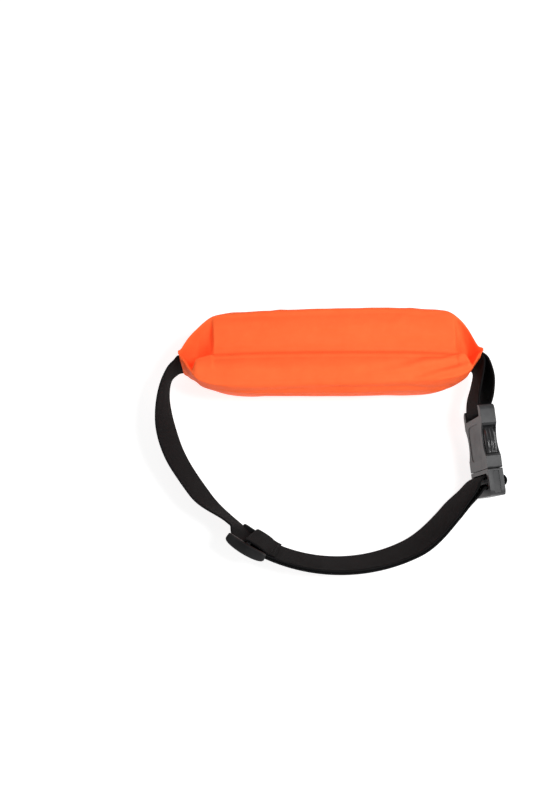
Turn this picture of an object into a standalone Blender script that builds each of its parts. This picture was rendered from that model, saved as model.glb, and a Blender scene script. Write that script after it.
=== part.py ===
"""Waist pack: a gusseted fabric pouch with a coated zip, on a webbing belt with a buckle and an adjuster.

The pouch stands on its bottom gusset, filled, with the belt closed in a loop on its wearer side.
+X runs along the pouch, +Y points out through the zip, -Y to the wearer, +Z up. The origin is the
middle of the pouch's resting face. Dimensions below are millimetres; meshes are written in metres.
"""
import math

import bmesh
import bpy
from mathutils import Matrix, Vector

MM = 0.001
GAP = 0.3                   # clearance kept between touching pieces

# Pouch: a fabric tube whose ends are pinched flat, with the gussets tucked in between
FABRIC = 0.8                # thickness of the fabric shell
BAG_HEIGHT = 62.0
SEAM_LOW = 1.0              # the end seams stand between these heights
SEAM_HIGH = 61.0
SEAM_X = 113.0              # outer edge of each end seam
FLANGE_X = 111.0            # the panels run side by side from here to the seam's edge
FLANGE_LEFT = 2.0           # half thickness of the seam, over one layer of webbing
FLANGE_RIGHT = 2.9          # over two layers
FRONT_Y = 37.0              # zip wall
BACK_Y = 24.0               # wall towards the wearer
END_REACH = 36.0            # the walls round in towards the seams over this length
END_POWER = 2.3             # how full that rounding is
FOLD_RADIUS = 9.0           # upper folds between walls and gusset, at mid length
FRONT_LOW_RADIUS = 9.0
BACK_LOW_RADIUS = 20.0      # this one the filling rounds off more
FOLD_RADIUS_END = 1.6
FOLD_TIGHTEN = (74.0, 101.0)
GUSSET_HALF = 28.5          # a gusset dips as soon as its half is wider than the space it spans
CREASE_DIP = 2.5            # dip of the top crease at mid length
CREASE_RADIUS = 6.0
CREASE_RADIUS_END = 1.2
GUSSET_END = 107.0
STATIONS = (0, 25, 50, 70, 75, 79, 83, 86, 89, 92, 95, 98, 100.5, 103, 105, 107, 109, 111, 113)
FOLD_POINTS = 7
CREASE_POINTS = 3
POINT_SPREAD = 0.25         # keeps the points of a nearly flat fold apart
PANEL_TRIM = 0.2            # each panel stops this short of the line it shares with the next

# Zip in the front wall
ZIP_Z = 31.0
WINDOW_HALF = 9.5           # half height of the gap between the two front strips
WINDOW_END = 103.0
TAPE_EDGE = 0.8             # from the zip's middle to each tape's inner edge
TAPE_OUTER = 14.0
TAPE_END = 104.0
TAPE_GAP = 0.5
TAPE = 0.7
COIL_WIDTH = 2.4
COIL_GAP = 0.4
COIL = 1.6
COIL_END = 102.0

# Slider and pull, at the closed end of the zip
SLIDER_X = 70.0
SLIDER_LENGTH = 11.0
SLIDER_HALF = 3.2
SLIDER_PLATE = 1.2
SLIDER_POST = 0.5
BRIDGE_HALF_LENGTH = 3.6
BRIDGE_HALF_WIDTH = 1.4
BRIDGE_WALL = 1.1
BRIDGE_HOLE = 1.9
BRIDGE_CORNER = 1.0
PULL_THICKNESS = 0.9
PULL_HALF = 2.9
PULL_ARM = 1.1
PULL_BAR = 1.2              # the bar under the bridge, along the zip
PULL_NECK = 0.2             # what is left of the frame at the grip
GRIP_THICKNESS = 2.2
GRIP_START = 5.8
GRIP_LENGTH = 9.0
GRIP_NARROW = 2.4
GRIP_WIDE = 3.9
GRIP_CORNER = (1.5, 1.0)
RING_MAJOR = 3.7
RING_MINOR = 0.55
RING_BURIED = 2.2           # how much of the loop is inside the grip

# Webbing
WEBBING = 40.0
WEB = 1.5
STRAP_Z = 31.0              # height of the webbing's middle at the seams
STRAP_IN = 108.0            # its sewn ends reach in this far
STEER = 4.0                 # distance to a point that only steers the end of a route

# The front of the belt lies on a cone about a vertical axis, its top edge leaning out
ARC_X = 3.5
ARC_Y = -28.0
ARC_RADIUS = 125.0
ARC_Z = 22.2
LEAN = math.radians(26.0)
ARC_START = 213.0
MAIN_END = 299.0            # the stretch from here to the buckle flexes when the buckle opens
ARC_END = 312.0
ARC_STEP = 2.0
RETURN_OFFSET = -2.0        # the inner layer, measured from the outer one

# Before the adjuster the belt stands steeper and dips inwards
DIP_RISE = (212.0, 228.0)
DIP_FALL = (229.5, 234.5)
DIP_LEAN = 12.0
DIP_OFFSET = -4.5

# Adjuster on the belt: three bars between two rails
GLIDE_ANGLE = 237.5
GLIDE_LENGTH = 30.0
RAIL_IN = 20.4
RAIL_OUT = 23.2
BAR_OUT = (1.05, 2.85)
BAR_MIDDLE = (-4.6, -2.8)
BAR_WIDTH = 3.6
BAR_MIDDLE_WIDTH = 3.4
RAIL_OVERHANG = 0.4
GLIDE_CHAMFER = 0.6
FLAP_LENGTH = 21.0          # sewn-back end of the webbing, from the middle bar
FLAP_OFFSET = -5.7
FLAP_REST = -3.85
TURN_START = -1.2           # the webbing turns round the middle bar between these places
TURN_END = 3.0
TURN_LIFT = 0.2
FLAP_PATH = [(3.5, FLAP_OFFSET), (9.0, FLAP_OFFSET + 0.5), (14.5, FLAP_REST - 0.3), (FLAP_LENGTH, FLAP_REST)]

# Side-release buckle; its own frame has u from female to male, w through the thickness
BUCKLE_X = 114.1
BUCKLE_Y = -85.5
BUCKLE_Z = 28.7
BUCKLE_TURN = math.radians(4.0)
BUCKLE_PITCH = math.radians(8.0)    # it stands on the male part's lower corner
BUCKLE_HALF = 26.0
BUCKLE_THICK = 5.5
FEMALE_LENGTH = 47.2
FEMALE_BAR = (-47.2, -43.2)
FEMALE_BAR_HALF = 2.3
FEMALE_SLOT = (-43.2, -39.0)
CAVITY_DEPTH = 35.5
CAVITY_THICK = 3.6
CAVITY_HALF = 23.4
WINDOW = (-31.5, -10.5)
WINDOW_THICK = 3.4
SLOT_HALF = 20.6
RELIEF_HALF = 20.45
MALE_START = 0.4
MALE_LENGTH = 19.6
MALE_SLOTS = ((3.4, 7.2), (10.8, 15.0))
TONGUE_LENGTH = 30.0
TONGUE_HALF = 7.0
TONGUE_THICK = 1.6
EDGE = 1.4                  # rounding of the moulded edges
PRONG_THICK = 3.1
PRONG_HINGE = (-1.0, 19.0)
PRONG_OUTLINE = ((0.1, 18.2), (0.1, 19.8), (-2.0, 21.8), (-9.5, 22.6), (-10.9, 22.9), (-10.9, 25.4),
                 (-14.5, 25.9), (-25.0, 25.6), (-30.8, 22.8), (-33.5, 20.2), (-33.5, 17.6),
                 (-28.0, 18.4), (-12.0, 18.8), (-2.0, 16.6))
LOOP_REACH = 5.0            # how far out of the male the webbing turns back

# Routes of the webbing, as (x, y, height of its middle, lean, pitch), both in degrees
ROUTE_LEFT = ((-119.8, -1.6, 31.0, -2, 0), (-125.2, -5.8, 30.8, -2, 0), (-128.6, -17.0, 30.0, 2, 0),
              (-128.8, -31.0, 28.8, 8, 0), (-127.0, -45.5, 27.3, 14, 0), (-123.2, -59.0, 25.8, 19, 0),
              (-117.4, -72.0, 24.4, 22.5, 0), (-110.0, -84.2, 23.1, 25, 0))
ROUTE_OUTER = ((95.6, -113.2, 23.2, 20, 2), (102.6, -105.4, 25.0, 11, 5))
ROUTE_INNER = ((93.6, -111.8, 23.2, 20, 2), (100.1, -102.6, 25.4, 11, 5), (104.4, -94.6, 27.2, 3, 8))
ROUTE_RIGHT_INNER = ((117.0, -5.2, 31.4, 0, 1), (115.2, -17.0, 32.8, 0, 4), (110.4, -30.0, 34.0, 0, 7))
ROUTE_RIGHT_OUTER = ((120.2, -3.4, 31.4, 1, 1), (121.2, -17.0, 32.8, 5, 4), (118.6, -30.0, 34.0, 3, 7))

ORANGE = (1.0, 0.16, 0.045)
BLACK_WEB = (0.018, 0.018, 0.019)
ZIP_GREY = (0.05, 0.05, 0.052)
PLASTIC = (0.075, 0.077, 0.08)
DARK_METAL = (0.03, 0.03, 0.032)


# ---------------------------------------------------------------- scene helpers

def clear_scene():
    for obj in list(bpy.data.objects):
        bpy.data.objects.remove(obj, do_unlink=True)


def make_collection(name):
    collection = bpy.data.collections.new(name)
    bpy.context.scene.collection.children.link(collection)
    return collection


def make_material(name, colour, roughness, metallic=0.0):
    material = bpy.data.materials.new(name)
    material.use_nodes = True
    shader = material.node_tree.nodes["Principled BSDF"]
    shader.inputs["Base Color"].default_value = (*colour, 1.0)
    shader.inputs["Roughness"].default_value = roughness
    shader.inputs["Metallic"].default_value = metallic
    return material


clear_scene()
PARTS = make_collection("waist_pack")
CUTTERS = make_collection("cutters")


def add_object(name, mesh, look, origin=(0.0, 0.0, 0.0)):
    """Put a mesh, given in world millimetres, into an object whose origin is a world point."""
    move = Matrix.Translation(-Vector(origin))
    mesh.transform(Matrix.Scale(MM, 4) @ move)
    obj = bpy.data.objects.new(name, mesh)
    obj.location = Vector(origin) * MM
    obj.data.materials.append(make_material(name, *look))
    PARTS.objects.link(obj)
    return obj


def as_cutter(obj):
    for collection in list(obj.users_collection):
        collection.objects.unlink(obj)
    CUTTERS.objects.link(obj)
    obj.hide_render = True
    obj.display_type = "WIRE"


def combine(obj, tool, operation):
    as_cutter(tool)
    modifier = obj.modifiers.new(tool.name, "BOOLEAN")
    modifier.operation = operation
    modifier.solver = "EXACT"
    modifier.object = tool


def bm_to_mesh(name, bm):
    bmesh.ops.recalc_face_normals(bm, faces=bm.faces)
    mesh = bpy.data.meshes.new(name)
    bm.to_mesh(mesh)
    bm.free()
    return mesh


def loft(name, rows):
    """Skin a list of equal closed outlines, and cap both ends."""
    bm = bmesh.new()
    rings = [[bm.verts.new(point) for point in row] for row in rows]
    count = len(rows[0])
    for lower, upper in zip(rings, rings[1:]):
        for i in range(count):
            j = (i + 1) % count
            bm.faces.new((lower[i], lower[j], upper[j], upper[i]))
    bm.faces.new(rings[0])
    bm.faces.new(rings[-1])
    return bm_to_mesh(name, bm)


def prism(name, outline, low, high, place):
    """Extrude a flat outline between two depths; place turns (a, b, depth) into a world point."""
    return loft(name, [[place(a, b, depth) for a, b in outline] for depth in (low, high)])


def block(name, low, high, look, place=None, bevel=0.0, origin=(0.0, 0.0, 0.0)):
    """A cube primitive stretched between two corners, optionally placed by a matrix and rounded."""
    bm = bmesh.new()
    bmesh.ops.create_cube(bm, size=1.0)
    size = [b - a for a, b in zip(low, high)]
    centre = [(a + b) / 2 for a, b in zip(low, high)]
    bmesh.ops.transform(bm, matrix=Matrix.Translation(centre) @ Matrix.Diagonal((*size, 1.0)), verts=bm.verts)
    if place is not None:
        bmesh.ops.transform(bm, matrix=place, verts=bm.verts)
    obj = add_object(name, bm_to_mesh(name, bm), look, origin)
    if bevel:
        modifier = obj.modifiers.new("Rounding", "BEVEL")
        modifier.width = bevel * MM
        modifier.segments = 2
        modifier.limit_method = "ANGLE"
    return obj


def ease(value, start, end):
    t = min(1.0, max(0.0, (value - start) / (end - start)))
    return t * t * (3.0 - 2.0 * t)


def mix(a, b, t):
    return a + (b - a) * t


# ---------------------------------------------------------------- pouch

def flange(x):
    return FLANGE_RIGHT if x > 0 else FLANGE_LEFT


def wall_y(x, depth):
    """Distance of a wall from the seam plane: it rounds out from the flange into a straight wall."""
    inward = min(END_REACH, max(0.0, FLANGE_X - abs(x)))
    base = flange(x)
    return depth - (depth - base) * (1.0 - inward / END_REACH) ** END_POWER


def pouch_rolls(x):
    """The rolls that the fabric tube passes round at station x: (y, z, signed radius, points)."""
    ends = ease(abs(x), *FOLD_TIGHTEN)
    fold = mix(FOLD_RADIUS, FOLD_RADIUS_END, ends)
    front_low = mix(FRONT_LOW_RADIUS, FOLD_RADIUS_END, ends)
    back_low = mix(BACK_LOW_RADIUS, FOLD_RADIUS_END, ends)
    crease = mix(CREASE_RADIUS, CREASE_RADIUS_END, ends)
    front = wall_y(x, FRONT_Y)
    back = wall_y(x, BACK_Y)
    low = SEAM_LOW * ends
    high = mix(BAG_HEIGHT, SEAM_HIGH, ends)
    tuck = math.sqrt(max(0.0, GUSSET_HALF ** 2 - ((front + back) / 2) ** 2))
    dip = math.hypot(CREASE_DIP, tuck)
    return [
        (0.0, low + tuck - crease, -crease, CREASE_POINTS),
        (front - front_low, low + front_low, front_low, FOLD_POINTS),
        (front - fold, high - fold, fold, FOLD_POINTS),
        (0.0, high - dip + crease, -crease, CREASE_POINTS),
        (fold - back, high - fold, fold, FOLD_POINTS),
        (back_low - back, low + back_low, back_low, FOLD_POINTS),
    ]


def leaving_angle(first, second):
    """Direction of the outward normal of the straight stretch between two rolls."""
    dy = second[0] - first[0]
    dz = second[1] - first[1]
    along = (first[2] - second[2]) / math.hypot(dy, dz)
    return math.atan2(-dy, dz) + math.asin(along)


def pouch_arcs(x, inset):
    """For each roll, the points of the shell's surface round it, moved inwards by inset."""
    rolls = pouch_rolls(x)
    arcs = []
    for i, (y, z, radius, count) in enumerate(rolls):
        arrive = leaving_angle(rolls[i - 1], rolls[i])
        leave = leaving_angle(rolls[i], rolls[(i + 1) % len(rolls)])
        turn = (leave - arrive + math.pi) % (2 * math.pi) - math.pi
        arc = []
        for j in range(count):
            angle = arrive + turn * j / (count - 1)
            spread = (j - (count - 1) / 2) * POINT_SPREAD
            normal = (math.cos(angle), math.sin(angle))
            arc.append((y + (radius - inset) * normal[0] - spread * normal[1],
                        z + (radius - inset) * normal[1] + spread * normal[0]))
        arcs.append(arc)
    return arcs


def trimmed(points, at_start=True, at_end=True):
    """Pull the ends of an open line in by the panel trim."""
    line = [Vector(point) for point in points]
    if at_start:
        line[0] += (line[1] - line[0]).normalized() * PANEL_TRIM
    if at_end:
        line[-1] += (line[-2] - line[-1]).normalized() * PANEL_TRIM
    return [tuple(point) for point in line]


def gusset_line(x, inset, top):
    arcs = pouch_arcs(x, inset)
    half = FOLD_POINTS // 2
    before, crease, after = (arcs[2], arcs[3], arcs[4]) if top else (arcs[5], arcs[0], arcs[1])
    return trimmed(before[half:] + crease + after[:half + 1])


def back_line(x, inset):
    arcs = pouch_arcs(x, inset)
    half = FOLD_POINTS // 2
    return trimmed(arcs[4][half:] + arcs[5][:half + 1])


def strip_line(x, inset, top):
    arcs = pouch_arcs(x, inset)
    half = FOLD_POINTS // 2
    y = wall_y(x, FRONT_Y) - inset
    if top:
        return trimmed([(y, ZIP_Z + WINDOW_HALF)] + arcs[2][:half + 1], at_start=False)
    return trimmed(arcs[1][half:] + [(y, ZIP_Z - WINDOW_HALF)], at_end=False)


def patch_line(x, inset):
    y = wall_y(x, FRONT_Y) - inset
    reach = WINDOW_HALF - GAP
    return [(y, ZIP_Z - reach), (y, ZIP_Z + reach)]


def stations(low, high):
    xs = {side * x for x in STATIONS for side in (-1, 1) if low < side * x < high}
    return sorted(xs | {low, high})


def panel(name, line, low, high, look):
    """A fabric panel: the outline at each station is its outer line and its inner line back again."""
    rows = []
    for x in stations(low, high):
        outline = line(x, 0.0) + line(x, FABRIC)[::-1]
        rows.append([(x, y, z) for y, z in outline])
    return add_object(name, loft(name, rows), look)


def build_pouch():
    fabric = (ORANGE, 0.45)
    panel("back_panel", back_line, -SEAM_X, SEAM_X, fabric)
    panel("top_gusset", lambda x, inset: gusset_line(x, inset, True), -GUSSET_END, GUSSET_END, fabric)
    panel("bottom_gusset", lambda x, inset: gusset_line(x, inset, False), -GUSSET_END, GUSSET_END, fabric)
    panel("front_strip_upper", lambda x, inset: strip_line(x, inset, True), -SEAM_X, SEAM_X, fabric)
    panel("front_strip_lower", lambda x, inset: strip_line(x, inset, False), -SEAM_X, SEAM_X, fabric)
    panel("zip_end_patch_left", patch_line, -SEAM_X, -WINDOW_END - GAP, fabric)
    panel("zip_end_patch_right", patch_line, WINDOW_END + GAP, SEAM_X, fabric)


# ---------------------------------------------------------------- zip

def ribbon_along_wall(name, depth, thickness, z_low, z_high, end, look):
    """A flat ribbon that follows the inside of the zip wall."""
    rows = []
    for x in stations(-end, end):
        outer = wall_y(x, FRONT_Y) - depth
        inner = outer - thickness
        rows.append([(x, outer, z_low), (x, outer, z_high), (x, inner, z_high), (x, inner, z_low)])
    return add_object(name, loft(name, rows), look)


TAPE_DEPTH = FABRIC + TAPE_GAP
COIL_DEPTH = TAPE_DEPTH + TAPE + COIL_GAP
TAPE_Y = FRONT_Y - TAPE_DEPTH
COIL_INNER_Y = FRONT_Y - COIL_DEPTH - COIL


def build_zip():
    for side, word in ((1, "upper"), (-1, "lower")):
        near = ZIP_Z + side * TAPE_EDGE
        ribbon_along_wall("zip_tape_" + word, TAPE_DEPTH, TAPE, *sorted((near, ZIP_Z + side * TAPE_OUTER)),
                          TAPE_END, (ZIP_GREY, 0.55))
        ribbon_along_wall("zip_coil_" + word, COIL_DEPTH, COIL, *sorted((near, near + side * COIL_WIDTH)),
                          COIL_END, (DARK_METAL, 0.4))


def build_slider():
    """Two plates joined by a post between the tapes, with a bridge on the outer plate for the pull."""
    plate_y = TAPE_Y + GAP
    back_y = COIL_INNER_Y - GAP
    outline = [
        (back_y - SLIDER_PLATE, -SLIDER_HALF), (back_y, -SLIDER_HALF), (back_y, -SLIDER_POST),
        (plate_y, -SLIDER_POST), (plate_y, -SLIDER_HALF), (plate_y + SLIDER_PLATE, -SLIDER_HALF),
        (plate_y + SLIDER_PLATE, SLIDER_HALF), (plate_y, SLIDER_HALF), (plate_y, SLIDER_POST),
        (back_y, SLIDER_POST), (back_y, SLIDER_HALF), (back_y - SLIDER_PLATE, SLIDER_HALF),
    ]
    low = SLIDER_X - SLIDER_LENGTH / 2
    high = SLIDER_X + SLIDER_LENGTH / 2
    mesh = prism("zip_slider", outline, low, high, lambda y, z, x: (x, y, ZIP_Z + z))
    slider = add_object("zip_slider", mesh, (DARK_METAL, 0.35, 0.8), (SLIDER_X, TAPE_Y, ZIP_Z))
    base = plate_y + SLIDER_PLATE
    reach = BRIDGE_HALF_LENGTH
    inside = reach - BRIDGE_WALL
    flat = reach - BRIDGE_CORNER
    foot = base - GAP
    under = base + BRIDGE_HOLE
    top = under + BRIDGE_WALL
    arch = [(-reach, foot), (-reach, under), (-flat, top), (flat, top), (reach, under), (reach, foot),
            (inside, foot), (inside, under), (-inside, under), (-inside, foot)]
    mesh = prism("slider_bridge", arch, -BRIDGE_HALF_WIDTH, BRIDGE_HALF_WIDTH,
                 lambda x, y, z: (SLIDER_X + x, y, ZIP_Z + z))
    combine(slider, add_object("slider_bridge", mesh, (DARK_METAL, 0.35)), "UNION")
    return base + BRIDGE_HOLE / 2


def build_pull(hinge_y):
    """A frame that hooks under the bridge, a rubber grip on it and a loop in the grip's far end."""
    origin = (SLIDER_X, hinge_y, ZIP_Z)
    metal = (DARK_METAL, 0.35, 0.8)
    half = PULL_THICKNESS / 2
    frame = block("zip_pull_frame", (SLIDER_X - PULL_BAR / 2, hinge_y - half, ZIP_Z - PULL_HALF),
                  (SLIDER_X + GRIP_START, hinge_y + half, ZIP_Z + PULL_HALF), metal, origin=origin)
    arm = PULL_HALF - PULL_ARM
    hole = block("pull_hole", (SLIDER_X + PULL_BAR / 2, hinge_y - PULL_THICKNESS, ZIP_Z - arm),
                 (SLIDER_X + GRIP_START - PULL_NECK, hinge_y + PULL_THICKNESS, ZIP_Z + arm), metal)
    combine(frame, hole, "DIFFERENCE")
    start = SLIDER_X + GRIP_START + GAP
    end = start + GRIP_LENGTH
    cut, step = GRIP_CORNER
    outline = [(start, -GRIP_NARROW), (end - cut, -GRIP_WIDE), (end, step - GRIP_WIDE),
               (end, GRIP_WIDE - step), (end - cut, GRIP_WIDE), (start, GRIP_NARROW)]
    mesh = prism("zip_pull_grip", outline, hinge_y - GRIP_THICKNESS / 2, hinge_y + GRIP_THICKNESS / 2,
                 lambda x, z, y: (x, y, ZIP_Z + z))
    grip = add_object("zip_pull_grip", mesh, (BLACK_WEB, 0.6), origin)
    ring_x = end + RING_MAJOR - RING_BURIED
    for name, minor in (("zip_pull_loop", RING_MINOR), ("loop_pocket", RING_MINOR + GAP)):
        bpy.ops.mesh.primitive_torus_add(major_segments=20, minor_segments=6, major_radius=RING_MAJOR,
                                         minor_radius=minor, rotation=(math.pi / 2, 0, 0))
        torus = bpy.context.object
        mesh = torus.data
        mesh.transform(Matrix.Translation((ring_x, hinge_y, ZIP_Z)) @ torus.matrix_world.to_3x3().to_4x4())
        bpy.data.objects.remove(torus)
        loop = add_object(name, mesh, (BLACK_WEB, 0.6), origin)
        if name == "loop_pocket":
            combine(grip, loop, "DIFFERENCE")


# ---------------------------------------------------------------- webbing

def smooth_route(points, per_stretch=4):
    """Catmull-Rom curve through the inner points; the first and last only steer its ends."""
    knots = [Vector(point) for point in points]
    out = []
    for p0, p1, p2, p3 in zip(knots, knots[1:], knots[2:], knots[3:]):
        for k in range(per_stretch):
            t = k / per_stretch
            out.append(0.5 * (2 * p1 + (p2 - p0) * t + (2 * p0 - 5 * p1 + 4 * p2 - p3) * t * t
                              + (3 * p1 - p0 - 3 * p2 + p3) * t ** 3))
    out.append(knots[-2])
    return out


def band_row(centre, heading, lean, pitch=0.0):
    """Four corners of the webbing at one place. The loop's inside is on the left of the heading."""
    out = Vector((heading.y, -heading.x, 0.0)).normalized()
    across = out * math.sin(lean) + Vector((0, 0, math.cos(lean)))
    across = across * math.cos(pitch) + BELT_AHEAD * math.sin(pitch)
    normal = heading.cross(across).normalized()
    half = across * WEBBING / 2
    skin = normal * WEB / 2
    return [tuple(centre - half - skin), tuple(centre - half + skin),
            tuple(centre + half + skin), tuple(centre + half - skin)]


def band_rows(route):
    """Rows for a route of (x, y, height, lean, pitch) points, following its own direction."""
    rows = []
    for i, point in enumerate(route):
        before = route[max(0, i - 1)]
        after = route[min(len(route) - 1, i + 1)]
        heading = (Vector(after[:3]) - Vector(before[:3])).normalized()
        rows.append(band_row(Vector(point[:3]), heading, math.radians(point[3]), math.radians(point[4])))
    return rows


def arc_point(angle, offset=0.0, lean=math.degrees(LEAN)):
    """Middle of the webbing on the cone, moved by an offset along the cone's normal."""
    turn = math.radians(angle)
    radius = ARC_RADIUS + offset * math.cos(LEAN)
    return (ARC_X + radius * math.cos(turn), ARC_Y + radius * math.sin(turn),
            ARC_Z - offset * math.sin(LEAN), lean, 0.0)


def arc_route(start, end, offset=0.0):
    steps = max(1, math.ceil((end - start) / ARC_STEP))
    return [arc_point(start + (end - start) * i / steps, offset) for i in range(steps + 1)]


def arc_rows(start, end, offset=0.0):
    rows = []
    for x, y, z, lean, pitch in arc_route(start, end, offset):
        heading = Vector((ARC_Y - y, x - ARC_X, 0.0)).normalized()
        rows.append(band_row(Vector((x, y, z)), heading, math.radians(lean)))
    return rows


def dipped_point(angle):
    """Point of the outer layer, which dips before the adjuster."""
    dip = ease(angle, *DIP_RISE) * (1.0 - ease(angle, *DIP_FALL))
    return arc_point(angle, DIP_OFFSET * dip, math.degrees(LEAN) - DIP_LEAN * dip)


BUCKLE_TURNED = Matrix.Rotation(BUCKLE_TURN - math.pi / 2, 4, "Z")
BUCKLE = (Matrix.Translation((BUCKLE_X, BUCKLE_Y, BUCKLE_Z)) @ BUCKLE_TURNED
          @ Matrix.Rotation(BUCKLE_PITCH, 4, "Y"))
BELT_AHEAD = BUCKLE_TURNED @ Vector((1.0, 0.0, 0.0))    # a pitched webbing's upper edge is moved this way


def in_buckle(u, w):
    """World point of a place in the buckle's frame, as a route point."""
    point = BUCKLE @ Vector((u, w, 0.0))
    return (*point, 0.0, math.degrees(BUCKLE_PITCH))


def add_band(name, rows, origin=(0.0, 0.0, 0.0)):
    return add_object(name, loft(name, rows), (BLACK_WEB, 0.85), origin)


LOOP_MIDDLES = [sum(slot) / 2 for slot in MALE_SLOTS]
LOOP_FACE = BUCKLE_THICK + 1.0      # where the flexing layers meet the loop, on the inner side


def glide_angle_of(length):
    """Angle on the arc at a distance along the belt from the adjuster's middle bar."""
    return GLIDE_ANGLE + math.degrees(length / ARC_RADIUS)


def seam_route(side, y):
    """Straight way out of an end seam; the first point only steers."""
    xs = (STRAP_IN - STEER, STRAP_IN, SEAM_X - 2.0, SEAM_X + 1.4)
    return [(side * x, y, STRAP_Z, 0.0, 0.0) for x in xs]


def build_belt_left():
    start = seam_route(-1, 0.0)
    steps = math.ceil((MAIN_END - ARC_START) / ARC_STEP)
    step = (MAIN_END - ARC_START) / steps
    arc = [dipped_point(ARC_START + step * i) for i in range(steps + 2)]
    route = smooth_route(start + list(ROUTE_LEFT) + arc[:2])
    add_band("strap_main", band_rows(route[:-1] + arc)[:-1])


def build_belt_right_end():
    """The two layers that flex when the buckle opens, and the loop that the male part carries."""
    gap_angle = math.degrees(GAP / ARC_RADIUS)
    first = MAIN_END + gap_angle
    steer_outer = in_buckle(LOOP_MIDDLES[1], 0.0)
    route = smooth_route([arc_point(ARC_END - ARC_STEP), arc_point(ARC_END)] + list(ROUTE_OUTER)
                         + [in_buckle(LOOP_MIDDLES[1], -LOOP_FACE - 2 * GAP), steer_outer])
    add_band("strap_flex", arc_rows(first, ARC_END) + band_rows(route)[1:])
    inner_arc = [arc_point(angle, RETURN_OFFSET) for angle in (ARC_END - ARC_STEP, ARC_END)]
    inner_end = [in_buckle(LOOP_MIDDLES[0], -LOOP_FACE - 2 * GAP), in_buckle(LOOP_MIDDLES[0], 0.0)]
    route = smooth_route(inner_arc + list(ROUTE_INNER) + inner_end)
    start = glide_angle_of(FLAP_LENGTH) + gap_angle
    add_band("strap_return", arc_rows(start, ARC_END, RETURN_OFFSET) + band_rows(route)[1:])


def build_buckle_loop():
    centre = sum(LOOP_MIDDLES) / 2
    radius = (LOOP_MIDDLES[1] - LOOP_MIDDLES[0]) / 2
    route = [in_buckle(LOOP_MIDDLES[1], -LOOP_FACE), in_buckle(LOOP_MIDDLES[1], 0.0)]
    steps = 8
    for i in range(steps + 1):
        turn = math.pi * i / steps
        route.append(in_buckle(centre + radius * math.cos(turn), LOOP_REACH + radius * math.sin(turn)))
    route += [in_buckle(LOOP_MIDDLES[0], 0.0), in_buckle(LOOP_MIDDLES[0], -LOOP_FACE)]
    origin = in_buckle(centre, 0.0)[:3]
    add_band("strap_buckle_loop", band_rows(route), origin)


def build_belt_right():
    """One length, sewn in by both ends, round the female part's bar."""
    bar = sum(FEMALE_BAR) / 2
    radius = math.hypot(FEMALE_BAR_HALF, FEMALE_BAR[1] - bar) + GAP + WEB / 2
    layer = WEB / 2 + 0.2
    inner = seam_route(1, -layer)
    outer = seam_route(1, layer)
    inner_end = [in_buckle(bar, -radius), in_buckle(bar + 8, -radius)]
    outer_end = [in_buckle(bar, radius), in_buckle(bar + 8, radius)]
    down = smooth_route(inner + list(ROUTE_RIGHT_INNER) + inner_end)
    up = smooth_route(outer + list(ROUTE_RIGHT_OUTER) + outer_end)[::-1]
    steps = 8
    turn = [in_buckle(bar + radius * math.sin(math.pi * i / steps), -radius * math.cos(math.pi * i / steps))
            for i in range(1, steps)]
    route = [tuple(point) for point in down] + turn + [tuple(point) for point in up]
    add_band("strap_right", band_rows(route))


def build_sewn_end():
    """Webbing turned round the adjuster's middle bar and sewn back on its inner side."""
    turn_out = RETURN_OFFSET + TURN_LIFT
    turn_middle = (turn_out + FLAP_OFFSET) / 2
    radius = (turn_out - FLAP_OFFSET) / 2
    places = [(FLAP_LENGTH, RETURN_OFFSET), (FLAP_LENGTH / 2, RETURN_OFFSET), (TURN_END, turn_out)]
    steps = 8
    for i in range(steps + 1):
        angle = math.pi * i / steps
        places.append((TURN_START - radius * math.sin(angle), turn_middle + radius * math.cos(angle)))
    places += FLAP_PATH
    rows = []
    for i, place in enumerate(places):
        before = places[max(0, i - 1)]
        after = places[min(len(places) - 1, i + 1)]
        slope = Vector((after[0] - before[0], after[1] - before[1])).normalized()
        rows.append(cone_band_row(place, slope))
    add_band("strap_sewn_end", rows, (ARC_X, ARC_Y, ARC_Z))


def cone_point(length, across, offset):
    """World point on the belt's cone: distance along, up its width, and out along its normal."""
    angle = math.radians(glide_angle_of(length))
    radius = ARC_RADIUS + across * math.sin(LEAN) + offset * math.cos(LEAN)
    height = ARC_Z + across * math.cos(LEAN) - offset * math.sin(LEAN)
    return (ARC_X + radius * math.cos(angle), ARC_Y + radius * math.sin(angle), height)


def cone_band_row(place, slope):
    """Four corners of webbing at a (length, offset) place, square to its slope."""
    side = Vector((-slope.y, slope.x)) * WEB / 2
    corners = ((-1, -1), (-1, 1), (1, 1), (1, -1))
    return [cone_point(place[0] + skin * side.x, edge * WEBBING / 2, place[1] + skin * side.y)
            for edge, skin in corners]


# ---------------------------------------------------------------- adjuster

def chamfered(low_a, high_a, low_b, high_b, cut):
    return [(low_a + cut, low_b), (high_a - cut, low_b), (high_a, low_b + cut), (high_a, high_b - cut),
            (high_a - cut, high_b), (low_a + cut, high_b), (low_a, high_b - cut), (low_a, low_b + cut)]


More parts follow.
